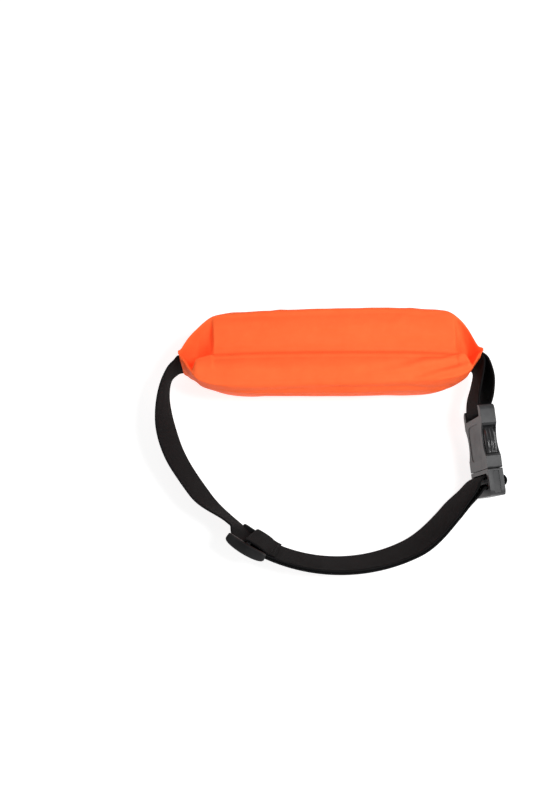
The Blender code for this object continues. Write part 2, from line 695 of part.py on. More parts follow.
def build_adjuster():
    """Rails beyond the webbing's edges, end bars outside it and a middle bar inside it."""
    origin = (ARC_X, ARC_Y, ARC_Z)
    half = GLIDE_LENGTH / 2
    steps = 6
    pieces = []
    for side, word in ((1, "top"), (-1, "bottom")):
        across = sorted((side * RAIL_IN, side * RAIL_OUT))
        outline = chamfered(*across, BAR_MIDDLE[0], BAR_OUT[1], GLIDE_CHAMFER)
        rows = [[cone_point(-half + GLIDE_LENGTH * i / steps, v, n) for v, n in outline]
                for i in range(steps + 1)]
        pieces.append(("rail_" + word, rows))
    outer = half - RAIL_OVERHANG
    bars = (("bar_start", -outer, BAR_WIDTH - outer, BAR_OUT),
            ("bar_end", outer - BAR_WIDTH, outer, BAR_OUT),
            ("bar_middle", -BAR_MIDDLE_WIDTH / 2, BAR_MIDDLE_WIDTH / 2, BAR_MIDDLE))
    reach = (RAIL_IN + RAIL_OUT) / 2
    for word, start, end, offsets in bars:
        outline = chamfered(start, end, *offsets, GLIDE_CHAMFER)
        rows = [[cone_point(s, v, n) for s, n in outline] for v in (-reach, 0.0, reach)]
        pieces.append((word, rows))
    frame = add_object("tri_glide", loft("tri_glide", pieces[0][1]), (PLASTIC, 0.45), origin)
    for word, rows in pieces[1:]:
        combine(frame, add_object("glide_" + word, loft(word, rows), (PLASTIC, 0.45)), "UNION")


# ---------------------------------------------------------------- buckle

def buckle_block(name, u, w, z, bevel=0.0, origin=(0.0, 0.0, 0.0)):
    low = (u[0], w[0], z[0])
    high = (u[1], w[1], z[1])
    return block(name, low, high, (PLASTIC, 0.42), BUCKLE, bevel, origin)


def build_female():
    thick = (-BUCKLE_THICK, BUCKLE_THICK)
    past = BUCKLE_THICK + 1.0
    width = (-BUCKLE_HALF, BUCKLE_HALF)
    slot = (-SLOT_HALF, SLOT_HALF)
    relief = (-RELIEF_HALF, RELIEF_HALF)
    body = buckle_block("buckle_female", (-FEMALE_LENGTH, 0.0), thick, width, EDGE)
    cuts = [
        ("female_cavity", (-CAVITY_DEPTH, 1.0), (-CAVITY_THICK, CAVITY_THICK), (-CAVITY_HALF, CAVITY_HALF)),
        ("female_windows", WINDOW, (-WINDOW_THICK, WINDOW_THICK), (-BUCKLE_HALF - 1, BUCKLE_HALF + 1)),
        ("female_slot", FEMALE_SLOT, (-past, past), slot),
        ("bar_relief_outer", (-FEMALE_LENGTH - 1, FEMALE_BAR[1] + 1), (FEMALE_BAR_HALF, past), relief),
        ("bar_relief_inner", (-FEMALE_LENGTH - 1, FEMALE_BAR[1] + 1), (-past, -FEMALE_BAR_HALF), relief),
    ]
    for name, u, w, z in cuts:
        combine(body, buckle_block(name, u, w, z), "DIFFERENCE")


def build_male():
    thick = (-BUCKLE_THICK, BUCKLE_THICK)
    origin = tuple(BUCKLE @ Vector((MALE_START, 0.0, 0.0)))
    base = buckle_block("buckle_male", (MALE_START, MALE_START + MALE_LENGTH), thick,
                        (-BUCKLE_HALF, BUCKLE_HALF), EDGE, origin)
    for name, span in zip(("male_slot_front", "male_slot_back"), MALE_SLOTS):
        cutter = buckle_block(name, span, (-BUCKLE_THICK - 1, BUCKLE_THICK + 1), (-SLOT_HALF, SLOT_HALF))
        combine(base, cutter, "DIFFERENCE")
    tongue = buckle_block("male_tongue", (-TONGUE_LENGTH, MALE_START + 2.0), (-TONGUE_THICK, TONGUE_THICK),
                          (-TONGUE_HALF, TONGUE_HALF), 0.6)
    combine(base, tongue, "UNION")


def build_prongs():
    for side, word in ((1, "upper"), (-1, "lower")):
        name = "buckle_prong_" + word
        outline = [(u, side * z) for u, z in PRONG_OUTLINE]
        mesh = prism(name, outline, -PRONG_THICK, PRONG_THICK, lambda u, z, w: BUCKLE @ Vector((u, w, z)))
        hinge = BUCKLE @ Vector((PRONG_HINGE[0], 0.0, side * PRONG_HINGE[1]))
        prong = add_object(name, mesh, (PLASTIC, 0.35), tuple(hinge))
        modifier = prong.modifiers.new("Rounding", "BEVEL")
        modifier.width = 0.5 * MM
        modifier.segments = 1
        modifier.limit_method = "ANGLE"


def main():
    build_pouch()
    build_zip()
    build_pull(build_slider())
    build_belt_left()
    build_belt_right_end()
    build_buckle_loop()
    build_belt_right()
    build_sewn_end()
    build_adjuster()
    build_female()
    build_male()
    build_prongs()


main()
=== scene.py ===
"""Looks of the waist pack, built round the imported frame.

Lengths below are millimetres; meshes are written in metres. +X runs along the pouch, +Y out through
the zip, -Y to the wearer, +Z up, and the pouch stands on z = 0.
"""
import math

import bmesh
import bpy
from mathutils import Matrix, Vector, noise


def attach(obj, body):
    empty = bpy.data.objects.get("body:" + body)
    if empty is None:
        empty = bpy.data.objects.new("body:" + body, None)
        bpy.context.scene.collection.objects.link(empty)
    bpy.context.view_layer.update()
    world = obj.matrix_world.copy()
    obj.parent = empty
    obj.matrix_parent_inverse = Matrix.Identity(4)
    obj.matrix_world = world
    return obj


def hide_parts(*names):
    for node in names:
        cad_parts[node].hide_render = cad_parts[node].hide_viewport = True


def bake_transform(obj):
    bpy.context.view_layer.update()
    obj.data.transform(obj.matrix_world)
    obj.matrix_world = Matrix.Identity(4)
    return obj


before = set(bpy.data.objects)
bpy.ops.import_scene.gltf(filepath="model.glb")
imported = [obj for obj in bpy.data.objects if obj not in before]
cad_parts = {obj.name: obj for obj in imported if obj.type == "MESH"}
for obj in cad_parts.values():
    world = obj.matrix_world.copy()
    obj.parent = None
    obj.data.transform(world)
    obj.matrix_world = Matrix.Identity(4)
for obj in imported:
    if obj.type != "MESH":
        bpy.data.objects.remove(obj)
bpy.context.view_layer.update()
MM = 0.001

# Pouch
FABRIC = 0.8
SEAM_LOW = 1
SEAM_X = 113
LEFT_STRETCH = 1.7          # the left seam stands this much further out,
LEFT_SHIFT = 4.2            # and this much nearer the zip side
FOOT_DRAW = 6.5             # the lower corners of both ends draw in by this much
FLANGE_X = 111
FLANGE_LEFT = 2
FLANGE_RIGHT = 2.9
FRONT_Y = 37
END_REACH = 36
END_POWER = 2.3
GUSSET_HALF = 28.5
TIGHTEN = (62, 89)      # the soft folds turn crisp over this stretch

# Zip
ZIP_Z = 31
WINDOW_HALF = 9.5
COIL_PITCH = 1.35

# Webbing
WEBBING = 40
WEB = 1.5
STRAP_Z = 31
STRAP_IN = 111
CONE = Vector((3.5, -28, 22.2))
ARC_RADIUS = 125.5
LEAN = math.radians(22.5)
ARC_START = 213
MAIN_END = 299
ARC_END = 312
STEER = 4
RETURN_OFFSET = -2
DIP_RISE = (212, 228)
DIP_FALL = (229.5, 234.5)
DIP_LEAN = 9
DIP_OFFSET = -4.5
DRAW_IN = (294, 314)     # the belt draws in and stands up over these angles, towards the buckle
DRAW_DEPTH = 4
DRAW_LEAN = 4.5
GAP = 0.3

# Adjuster
GLIDE_ANGLE = 237.5
GLIDE_HALF = 15
RAIL_IN = 20.4
RAIL_OUT = 23.2
BAR_OUT = (1.05, 2.85)
BAR_MIDDLE = (-4.6, -2.8)
BAR_WIDTH = 3.6
FLAP_LENGTH = 21
FLAP_OFFSET = -5.7
FLAP_REST = -3.6
TURN_START = -1.2

# Buckle; its own frame has u from female to male, w through the thickness
BUCKLE_CENTRE = (114.1, -85.5, 28.7)
BUCKLE_TURN = math.radians(4)
BUCKLE_PITCH = math.radians(8)
BUCKLE_HALF = 26
BUCKLE_THICK = 5.5
FEMALE_LENGTH = 47.2
FEMALE_BAR = (-47.2, -43.2)
FEMALE_BAR_HALF = 2.3
FEMALE_SLOT = (-43.2, -39)
SLOT_HALF = 20.6
MALE_START = 0.4
MALE_END = 20
MALE_SLOTS = ((3.4, 7.2), (10.8, 15))
LOOP_REACH = 5

# Routes of the webbing, as (x, y, height of its middle, lean, pitch), the last two in degrees
ROUTE_LEFT = ((-119.2, 2, 31, -3, 0), (-124.2, -3.6, 30.8, -3, 0), (-127.6, -15.5, 30, 3, 0),
              (-128.3, -30, 28.8, 11, 0), (-126.8, -45, 27.3, 18, 0), (-123.4, -58.5, 25.8, 21, 0),
              (-117.8, -71.5, 24.4, 22.5, 0), (-110.2, -84, 23.1, 22.5, 0))
ROUTE_OUTER = ((92.7, -110.4, 23.2, 15, 2), (101.2, -103.6, 25, 9, 5))
ROUTE_INNER = ((90.9, -109, 23.2, 15, 2), (98.8, -101, 25.4, 9, 5), (104.2, -94.2, 27.2, 3, 8))
ROUTE_RIGHT_INNER = ((115.6, -5.4, 31.4, 0, 1), (112.6, -17, 32.8, 0, 4), (108.6, -29.5, 34, 0, 7))
ROUTE_RIGHT_OUTER = ((118.6, -4.2, 31.4, 1, 1), (119.4, -17, 32.8, 5, 4), (117.8, -30, 34, 3, 7))


# ---------------- numbers

def ease(value, start, end):
    t = min(1, max(0, (value - start) / (end - start)))
    return t * t * (3 - 2 * t)


def mix(a, b, t):
    return a + (b - a) * t


def arc(a, b, radius, start, sweep, steps):
    """Points along an arc round (a, b), with its start and sweep in degrees."""
    turns = [math.radians(start + sweep * k / steps) for k in range(steps + 1)]
    return [(a + radius * math.cos(turn), b + radius * math.sin(turn)) for turn in turns]


def neighbours(items):
    """Each item with the ones before and after it; the ends stand in for those they lack."""
    return zip(items[:1] + items[:-1], items, items[1:] + items[-1:])


def along_table(value, table):
    """Smooth curve through (place, value) knots, level beyond both ends."""
    value = min(table[-1][0], max(table[0][0], value))
    k = max(1, next(i for i in range(len(table)) if value <= table[i][0]))
    knots = [table[min(len(table) - 1, max(0, i))] for i in range(k - 2, k + 2)]
    (x0, y0), (x1, y1), (x2, y2), (x3, y3) = knots
    width = x2 - x1
    t = (value - x1) / width
    first, second = (y2 - y0) / (x2 - x0) * width, (y3 - y1) / (x3 - x1) * width
    return ((2 * t ** 3 - 3 * t * t + 1) * y1 + (t ** 3 - 2 * t * t + t) * first
            + (3 * t * t - 2 * t ** 3) * y2 + (t ** 3 - t * t) * second)


# ---------------- materials

class Look:
    """A procedural material, with short calls for the nodes that it is made of."""

    def __init__(self, name, roughness, **sockets):
        self.material = bpy.data.materials.new(name)
        self.material.use_nodes = True
        self.tree = self.material.node_tree
        self.shader = self.tree.nodes["Principled BSDF"]
        self.fill(self.shader, {"Roughness": roughness, **sockets})

    def feed(self, socket, value):
        """Link an input, or set it to a number or an RGB colour."""
        if isinstance(value, bpy.types.NodeSocket):
            self.tree.links.new(value, socket)
        else:
            socket.default_value = (*value, 1) if isinstance(value, tuple) else value

    def fill(self, node, sockets):
        for key, value in sockets.items():
            self.feed(node.inputs[key.replace("_", " ")], value)

    def node(self, kind, settings=None, **inputs):
        node = self.tree.nodes.new(kind)
        for key, value in (settings or {}).items():
            setattr(node, key, value)
        self.fill(node, inputs)
        return node

    def math(self, operation, first, second=0):
        node = self.node("ShaderNodeMath", {"operation": operation})
        for socket, value in zip(node.inputs, (first, second)):
            self.feed(socket, value)
        return node.outputs[0]

    def times(self, first, second):
        return self.math("MULTIPLY", first, second)

    def plus(self, first, second):
        return self.math("ADD", first, second)

    def cloth(self):
        """The mesh's own cloth coordinates in millimetres: both together, along and across."""
        source = self.node("ShaderNodeAttribute", {"attribute_name": "cloth"})
        split = self.node("ShaderNodeSeparateXYZ", Vector=source.outputs["Vector"])
        return source.outputs["Vector"], split.outputs[0], split.outputs[1]

    def place(self):
        return self.node("ShaderNodeTexCoord").outputs["Object"]

    def wave(self, value, period):
        return self.math("SINE", self.times(value, 2 * math.pi / period))

    def noise(self, vector, scale, detail=2, roughness=0.5):
        return self.node("ShaderNodeTexNoise", Vector=vector, Scale=scale, Detail=detail,
                         Roughness=roughness).outputs["Fac"]

    def span(self, value, low, high, to_low=0, to_high=1):
        return self.node("ShaderNodeMapRange", Value=value, From_Min=low, From_Max=high, To_Min=to_low,
                         To_Max=to_high).outputs[0]

    def wear_and_highlight_edge(self, start, full):
        """One along the sharp edges, falling to nothing on flat ground."""
        return self.span(self.node("ShaderNodeNewGeometry").outputs["Pointiness"], start, full)

    def colours(self, factor, first, second):
        node = self.node("ShaderNodeMix", {"data_type": "RGBA"})
        for k, value in ((0, factor), (6, first), (7, second)):
            self.feed(node.inputs[k], value)
        return node.outputs[2]

    def bump(self, height, distance, normal=None):
        node = self.node("ShaderNodeBump", Height=height, Distance=distance * MM)
        if normal is not None:
            self.feed(node.inputs["Normal"], normal)
        return node.outputs[0]

    def finish(self, colour, normal=None, roughness=None):
        sockets = {"Base Color": colour, "Normal": normal, "Roughness": roughness}
        self.fill(self.shader, {key: value for key, value in sockets.items() if value is not None})
        return self.material


THREAD_PITCH = 0.62
COLUMN_PITCH = 2.2
RIB_PITCH = 1.5


def coated_fabric(name="coated_fabric", low=(0.97, 0.140, 0.038), high=(1, 0.164, 0.047)):
    """Tightly woven polyester under a thin matt coating, with a weak orange glow painted in as light."""
    # Painted light: the weak orange emission lifts the fabric's shaded sides, though the fabric is no lamp.
    look = Look(name, 0.5, Specular_IOR_Level=0.02, Emission_Color=(1, 0.10, 0.025), Emission_Strength=0.22)
    cloth, along, across = look.cloth()
    place = look.place()
    threads = look.times(look.wave(along, THREAD_PITCH), look.wave(across, THREAD_PITCH))
    slub = look.noise(cloth, 0.9, 3)
    crumple = look.noise(place, 95, 4, 0.6)
    broad = look.noise(place, 16)
    tone = look.plus(look.times(crumple, 0.5), look.times(broad, 0.5))
    colour = look.colours(look.span(tone, 0.35, 0.65), low, high)
    colour = look.colours(look.span(threads, -1, 1, 0, 0.10), colour, tuple(0.72 * c for c in low))
    normal = look.bump(crumple, 0.5)
    normal = look.bump(look.plus(threads, look.times(slub, 0.8)), 0.035, normal)
    return look.finish(colour, normal, look.span(slub, 0.3, 0.7, 0.40, 0.54))


def webbing():
    """Flat woven belt: raised ribs across, in lengthwise columns that step by half a rib."""
    look = Look("webbing", 0.8, Specular_IOR_Level=0.03)
    cloth, along, across = look.cloth()
    column = look.wave(across, COLUMN_PITCH)
    step = look.times(look.math("SIGN", column), 0.5 * math.pi)
    turn = look.plus(look.times(along, 2 * math.pi / RIB_PITCH), step)
    rounding = look.math("POWER", look.math("ABSOLUTE", column), 0.4)
    ribs = look.times(look.math("SINE", turn), rounding)
    fibre = look.noise(cloth, 6)
    broad = look.noise(look.place(), 22, 3)
    # The colour follows the ribs' height: painted highlight on their crests and painted shade in the
    # grooves between them.
    colour = look.colours(look.span(ribs, -0.8, 0.9), (0.0050, 0.0050, 0.0052), (0.0150, 0.0150, 0.0154))
    colour = look.colours(look.span(broad, 0.45, 0.75, 0, 0.35), colour, (0.018, 0.018, 0.0186))
    return look.finish(colour, look.bump(look.plus(ribs, look.times(fibre, 0.6)), 0.14))


def zip_film():
    """Matt film over the woven tape; the coil behind it shows as faint ribs along the middle."""
    look = Look("zip_tape", 0.48, Specular_IOR_Level=0.4)
    cloth, along, across = look.cloth()
    middle = look.span(look.math("ABSOLUTE", across), 0.4, 4, 1, 0)
    ribs = look.times(look.wave(along, 1.3), middle)
    grain = look.noise(cloth, 1.6, 3)
    weave = look.times(look.wave(along, 0.8), look.wave(across, 0.8))
    height = look.plus(look.times(ribs, 0.5), look.times(grain, 0.5))
    height = look.plus(height, look.times(weave, 0.2))
    colour = look.colours(look.span(grain, 0.3, 0.7), (0.040, 0.041, 0.043), (0.058, 0.059, 0.062))
    return look.finish(colour, look.bump(height, 0.09), look.span(grain, 0.3, 0.7, 0.42, 0.55))


def moulded_plastic(name, low, high, wear_and_highlight_tone=(0.12, 0.12, 0.124), rough=(0.36, 0.54), shine_level=0.20):
    """Acetal with a fine spark-eroded grain, rubbed smoother and paler along its edges; on the prongs the
    much paler edge tone is a painted highlight along the ribs.
    """
    look = Look(name, 0.42, Specular_IOR_Level=shine_level)
    place = look.place()
    grain = look.noise(place, 2600)
    broad = look.noise(place, 90, 3)
    edge = look.times(look.wear_and_highlight_edge(0.515, 0.60), look.span(broad, 0.35, 0.6))
    colour = look.colours(look.span(broad, 0.35, 0.65), low, high)
    # Paler along the edges: rubbed wear on the buckle body and the adjuster, and a painted highlight along
    # the prongs' ribs.
    colour = look.colours(look.times(edge, 0.5), colour, wear_and_highlight_tone)
    shine = look.span(look.plus(broad, look.times(edge, -0.3)), 0.2, 0.8, *rough)
    return look.finish(colour, look.bump(grain, 0.025), shine)


def painted_metal():
    look = Look("slider_metal", 0.32, Metallic=0.85)
    broad = look.noise(look.place(), 400, 3)
    edge = look.times(look.wear_and_highlight_edge(0.53, 0.62), look.span(broad, 0.4, 0.6))
    colour = look.colours(edge, (0.035, 0.035, 0.037), (0.32, 0.31, 0.29))
    return look.finish(colour, look.bump(broad, 0.02), look.span(broad, 0.3, 0.7, 0.24, 0.42))


def pull_rubber():
    look = Look("pull_rubber", 0.62, Specular_IOR_Level=0.4)
    place = look.place()
    grain = look.noise(place, 1800, 3)
    broad = look.noise(place, 200)
    colour = look.colours(look.span(broad, 0.3, 0.7), (0.012, 0.012, 0.013), (0.022, 0.022, 0.023))
    return look.finish(colour, look.bump(grain, 0.03), look.span(grain, 0.3, 0.7, 0.55, 0.70))


def coil_plastic():
    look = Look("zip_coil", 0.35)
    broad = look.noise(look.place(), 300)
    colour = look.colours(broad, (0.014, 0.014, 0.015), (0.03, 0.03, 0.031))
    return look.finish(colour, look.bump(broad, 0.02))


def sewing_thread(name, low, high):
    look = Look(name, 0.6, Specular_IOR_Level=0.1)
    twist = look.wave(look.cloth()[1], 0.55)
    # The colour follows the twist's height: painted highlight on the raised turns and painted shade between
    # them.
    colour = look.colours(look.span(twist, -1, 1), low, high)
    return look.finish(colour, look.bump(twist, 0.04))


FABRIC_LOOK = coated_fabric()
PATCH_LOOK = coated_fabric("coated_fabric_patch", (0.96, 0.128, 0.034), (1, 0.150, 0.042))
WEBBING_LOOK = webbing()
FILM_LOOK = zip_film()
COIL_LOOK = coil_plastic()
METAL_LOOK = painted_metal()
RUBBER_LOOK = pull_rubber()
PLASTIC_LOOK = moulded_plastic("moulded_plastic", (0.030, 0.0305, 0.0315), (0.040, 0.0405, 0.042))
# Prong plastic: a darker copy of the buckle's plastic as painted shade, with a pale edge tone that paints
# highlights along the pad's ribs.
PRONG_LOOK = moulded_plastic("moulded_plastic_prong", (0.016, 0.016, 0.017), (0.024, 0.024, 0.025),
                             (0.30, 0.30, 0.31), (0.16, 0.30), 0.5)
GLIDE_LOOK = moulded_plastic("moulded_plastic_glide", (0.007, 0.007, 0.0074), (0.012, 0.012, 0.0125),
                             (0.09, 0.09, 0.093), (0.30, 0.48))
ORANGE_THREAD = sewing_thread("orange_thread", (0.42, 0.035, 0.010), (0.75, 0.075, 0.022))
BLACK_THREAD = sewing_thread("black_thread", (0.003, 0.003, 0.003), (0.012, 0.012, 0.012))


# ---------------- mesh helpers

def add_object(name, data):
    obj = bpy.data.objects.new(name, data)
    bpy.context.scene.collection.objects.link(obj)
    return obj


def mesh_of(name, points, faces):
    """A mesh in metres from points in millimetres."""
    mesh = bpy.data.meshes.new(name)
    mesh.from_pydata([Vector(point) * MM for point in points], [], faces)
    return mesh


def smooth(mesh):
    mesh.polygons.foreach_set("use_smooth", [True] * len(mesh.polygons))


def add_mesh(name, points, faces, look, cloth):
    """A smooth piece from points in millimetres; cloth is each point's (along, across)."""
    mesh = mesh_of(name, points, faces)
    mesh.validate()
    data = mesh.attributes.new("cloth", "FLOAT_VECTOR", "POINT").data
    for i, (along, across) in enumerate(cloth):
        data[i].vector = (along, across, 0)
    smooth(mesh)
    mesh.materials.append(look)
    obj = add_object(name, mesh)
    return obj


def grid_faces(rows, columns, closed=False, offset=0):
    """Faces between rows of points; closed rows run round in rings."""
    faces = []
    for i in range(rows - 1):
        for j in range(columns if closed else columns - 1):
            a = offset + i * columns + j
            b = offset + i * columns + (j + 1) % columns
            faces.append((a, b, b + columns, a + columns))
    return faces


def tube_faces(rows, columns, offset=0):
    """Faces of a run of closed rings, capped at both ends."""
    last = offset + (rows - 1) * columns
    caps = [tuple(range(offset, offset + columns))[::-1], tuple(range(last, last + columns))]
    return grid_faces(rows, columns, True, offset) + caps


def add_modifier(obj, name, kind, **settings):
    modifier = obj.modifiers.new(name, kind)
    for key, value in settings.items():
        setattr(modifier, key, value)


def thicken(obj, thickness):
    add_modifier(obj, "Thickness", "SOLIDIFY", thickness=thickness * MM, offset=-1)


def apply_modifiers(obj):
    graph = bpy.context.evaluated_depsgraph_get()
    mesh = bpy.data.meshes.new_from_object(obj.evaluated_get(graph), depsgraph=graph)
    old = obj.data
    obj.modifiers.clear()
    obj.data = mesh
    mesh.name = old.name
    bpy.data.meshes.remove(old)


# ---------------- webbing routes

def smooth_route(points, per_stretch=10):
    """Catmull-Rom curve through the inner points; the first and last only steer its ends."""
    knots = [Vector(point) for point in points]
    out = []
    for p0, p1, p2, p3 in zip(knots, knots[1:], knots[2:], knots[3:]):
        for k in range(per_stretch):
            t = k / per_stretch
            out.append(0.5 * (2 * p1 + (p2 - p0) * t + (2 * p0 - 5 * p1 + 4 * p2 - p3) * t * t
                              + (3 * p1 - p0 - 3 * p2 + p3) * t ** 3))
    out.append(knots[-2])
    return out


def arc_point(angle, offset=0, stand_up=0):
    """Middle of the webbing on the cone, moved by an offset along the cone's normal."""
    turn = math.radians(angle)
    drawn = ease(angle, *DRAW_IN)
    radius = ARC_RADIUS - DRAW_DEPTH * drawn + offset * math.cos(LEAN)
    centre = CONE + Vector((radius * math.cos(turn), radius * math.sin(turn), -offset * math.sin(LEAN)))
    return (*centre, math.degrees(LEAN) - DRAW_LEAN * drawn - stand_up, 0)


def arc_route(start, end, offset=0):
    steps = max(1, math.ceil(end - start))
    return [arc_point(mix(start, end, i / steps), offset) for i in range(steps + 1)]


def dipped_point(angle):
    """Point of the outer layer, which stands steeper and dips inwards before the adjuster."""
    dip = ease(angle, *DIP_RISE) * (1 - ease(angle, *DIP_FALL))
    return arc_point(angle, DIP_OFFSET * dip, DIP_LEAN * dip)


BUCKLE_TURNED = Matrix.Rotation(BUCKLE_TURN - math.pi / 2, 4, "Z")
BUCKLE = Matrix.Translation(BUCKLE_CENTRE) @ BUCKLE_TURNED @ Matrix.Rotation(BUCKLE_PITCH, 4, "Y")
BELT_AHEAD = BUCKLE_TURNED @ Vector((1, 0, 0))


def in_buckle(u, w):
    point = BUCKLE @ Vector((u, w, 0))
    return (*point, 0, math.degrees(BUCKLE_PITCH))


def glide_angle_of(length):
    return GLIDE_ANGLE + math.degrees(length / ARC_RADIUS)


def seam_y(x):
    """Distance of the plane of the end seam from the middle plane."""
    return LEFT_SHIFT * ease(-x, 98, 112)


def seam_x(x, z):
    """Place of station x: the left end reaches out further, and both ends draw in at the foot."""
    foot = FOOT_DRAW * (1 - ease(z, 0, 13)) * ease(abs(x), 98, SEAM_X)
    return x - LEFT_STRETCH * ease(-x, 92, SEAM_X) - math.copysign(foot, x)


def seam_route(side, y):
    """Webbing between the walls of an end seam and just out of it."""
    return [(seam_x(side * x, STRAP_Z), y + seam_y(side * x), STRAP_Z, 0, 0)
            for x in (STRAP_IN - STEER, STRAP_IN, SEAM_X - 0.6, SEAM_X + 1.4)]


def band_outline():
    """Outline of the webbing as (across, through) round one loop, with full soft edges."""
    flat = WEBBING / 2 - WEB / 2
    points = []
    for side in (1, -1):
        points += arc(side * flat, 0, WEB / 2, -90 * side, 180, 4)
        points += [(side * across, side * WEB / 2) for across in (18.2, 14, 7, 0, -7, -14, -18.2)]
    return points


OUTLINE = band_outline()


def band_frames(route):
    """(centre, across, normal) at each point of a route of (x, y, height, lean, pitch)."""
    frames = []
    for before, point, after in neighbours(route):
        heading = (Vector(after[:3]) - Vector(before[:3])).normalized()
        lean, pitch = math.radians(point[3]), math.radians(point[4])
        out = Vector((heading.y, -heading.x, 0)).normalized()
        across = out * math.sin(lean) + Vector((0, 0, math.cos(lean)))
        across = across * math.cos(pitch) + BELT_AHEAD * math.sin(pitch)
        frames.append((Vector(point[:3]), across, heading.cross(across).normalized()))
    return frames


def cone_axes(length):
    """Directions on the belt's cone at a length from the adjuster: outwards, up the webbing, normal."""
    turn = math.radians(glide_angle_of(length))
    out = Vector((math.cos(turn), math.sin(turn), 0))
    up = Vector((0, 0, 1))
    return out, out * math.sin(LEAN) + up * math.cos(LEAN), out * math.cos(LEAN) - up * math.sin(LEAN)


def glide_place(length, across, offset):
    """Point on the cone: along from the adjuster, up the webbing and out along its normal."""
    out, up, normal = cone_axes(length)
    return CONE + out * ARC_RADIUS + up * across + normal * offset


def cone_frames(places):
    """Frames on the cone from (length, offset) places, turned with the path they make."""
    frames = []
    for before, (length, offset), after in neighbours(places):
        slope = (after - before).normalized()
        up, normal = cone_axes(length)[1:]
        frames.append((glide_place(length, 0, offset), up, normal * slope.x - up.cross(normal) * slope.y))
    return frames


def add_band(name, frames, start=0, thin_end=0):
    """Webbing through a list of frames; its last few can taper to a pressed, sealed end."""
    points = []
    cloth = []
    length = start
    for i, (centre, across, normal) in enumerate(frames):
        if i:
            length += (centre - frames[i - 1][0]).length
        left = len(frames) - 1 - i
        press = 0.35 + 0.65 * left / thin_end if left < thin_end else 1
        for a, n in OUTLINE:
            points.append(centre + across * a + normal * n * press)
            cloth.append((length, a))
    obj = add_mesh(name, points, tube_faces(len(frames), len(OUTLINE)), WEBBING_LOOK, cloth)
    obj.data.set_sharp_from_angle(angle=math.radians(60))
    return obj


def run_of(frames):
    """Length of the webbing through its frames."""
    return sum((b[0] - a[0]).length for a, b in zip(frames, frames[1:]))


# ---------------- belt

INNER_SLOT, OUTER_SLOT = [sum(slot) / 2 for slot in MALE_SLOTS]
LOOP_FACE = BUCKLE_THICK + 1
BUTT_GAP = 0.02             # degrees between two pieces that meet end to end

start = seam_route(-1, 0)
outer_arc = [dipped_point(ARC_START + i) for i in range(int(MAIN_END - ARC_START) + 1)]
route = smooth_route(start + list(ROUTE_LEFT) + [outer_arc[0], outer_arc[2]])
main_frames = band_frames(route[:-1] + outer_arc)
belt = add_band("belt_main", main_frames)
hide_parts("strap_main")
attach(belt, "pack")


def flex_route(offset, knots, middle):
    """Route of one layer from the end of the fixed arc to the male part's slot."""
    steer = [arc_point(ARC_END - STEER, offset), arc_point(ARC_END, offset)]
    ends = [in_buckle(middle, -LOOP_FACE - 0.05), in_buckle(middle, 0)]
    return (arc_route(MAIN_END + BUTT_GAP, ARC_END, offset)
            + smooth_route(steer + list(knots) + ends)[1:])


flex_frames = band_frames(flex_route(0, ROUTE_OUTER, OUTER_SLOT))
flex = add_band("belt_flex", flex_frames, run_of(main_frames))
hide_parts("strap_flex")

flap_end = glide_angle_of(FLAP_LENGTH)
arc_frames = band_frames(arc_route(flap_end + BUTT_GAP, MAIN_END, RETURN_OFFSET))
inner_arc = add_band("belt_inner_arc", arc_frames)
inner_frames = band_frames(flex_route(RETURN_OFFSET, ROUTE_INNER, INNER_SLOT))
inner_flex = add_band("belt_inner_flex", inner_frames, run_of(arc_frames))
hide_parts("strap_return")
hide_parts("strap_return")

radius = (OUTER_SLOT - INNER_SLOT) / 2
route = [in_buckle(OUTER_SLOT, w) for w in (-LOOP_FACE, -2, 2)]
route += [in_buckle(u, w) for u, w in arc(INNER_SLOT + radius, LOOP_REACH, radius, 0, 180, 16)]
route += [in_buckle(INNER_SLOT, w) for w in (2, -2, -LOOP_FACE)]
loop = add_band("belt_buckle_loop", band_frames(route))
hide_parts("strap_buckle_loop")
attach(loop, "buckle_male")

bar = sum(FEMALE_BAR) / 2
radius = math.hypot(FEMALE_BAR_HALF, FEMALE_BAR[1] - bar) + GAP + WEB / 2
layer = WEB / 2 + 0.2
down, up = [smooth_route(seam_route(1, side * layer) + list(knots)
                         + [in_buckle(bar, side * radius), in_buckle(bar + 8, side * radius)])
            for side, knots in ((-1, ROUTE_RIGHT_INNER), (1, ROUTE_RIGHT_OUTER))]
turn = [in_buckle(u, w) for u, w in arc(bar, 0, radius, -90, 180, 16)[1:-1]]
right = add_band("belt_right", band_frames(down + turn + up[::-1]))
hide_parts("strap_right")
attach(right, "pack")

turn_out = RETURN_OFFSET + 0.2
turn_middle = (turn_out + FLAP_OFFSET) / 2
radius = (turn_out - FLAP_OFFSET) / 2
knots = [(FLAP_LENGTH + 4, RETURN_OFFSET), (FLAP_LENGTH, RETURN_OFFSET), (FLAP_LENGTH / 2, RETURN_OFFSET),
         (3, turn_out)]
knots += arc(TURN_START, turn_middle, radius, 90, 180, 8)
knots += [(3.5, FLAP_OFFSET), (9, FLAP_OFFSET + 0.5), (14.5, FLAP_REST - 0.3), (FLAP_LENGTH, FLAP_REST),
          (FLAP_LENGTH + 4, FLAP_REST)]
places = smooth_route(knots, 4)
sewn = add_band("belt_sewn_end", cone_frames(places), thin_end=5)
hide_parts("strap_sewn_end")
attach(sewn, "tri_glide")


def metres(point):
    return Vector(point[:3]) * MM


low, high = metres(arc_point(MAIN_END)), metres(in_buckle(OUTER_SLOT, -LOOP_FACE))
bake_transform(flex)
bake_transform(inner_flex)
metres(arc_point(flap_end))
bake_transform(inner_arc)


# ---------------- pouch shell

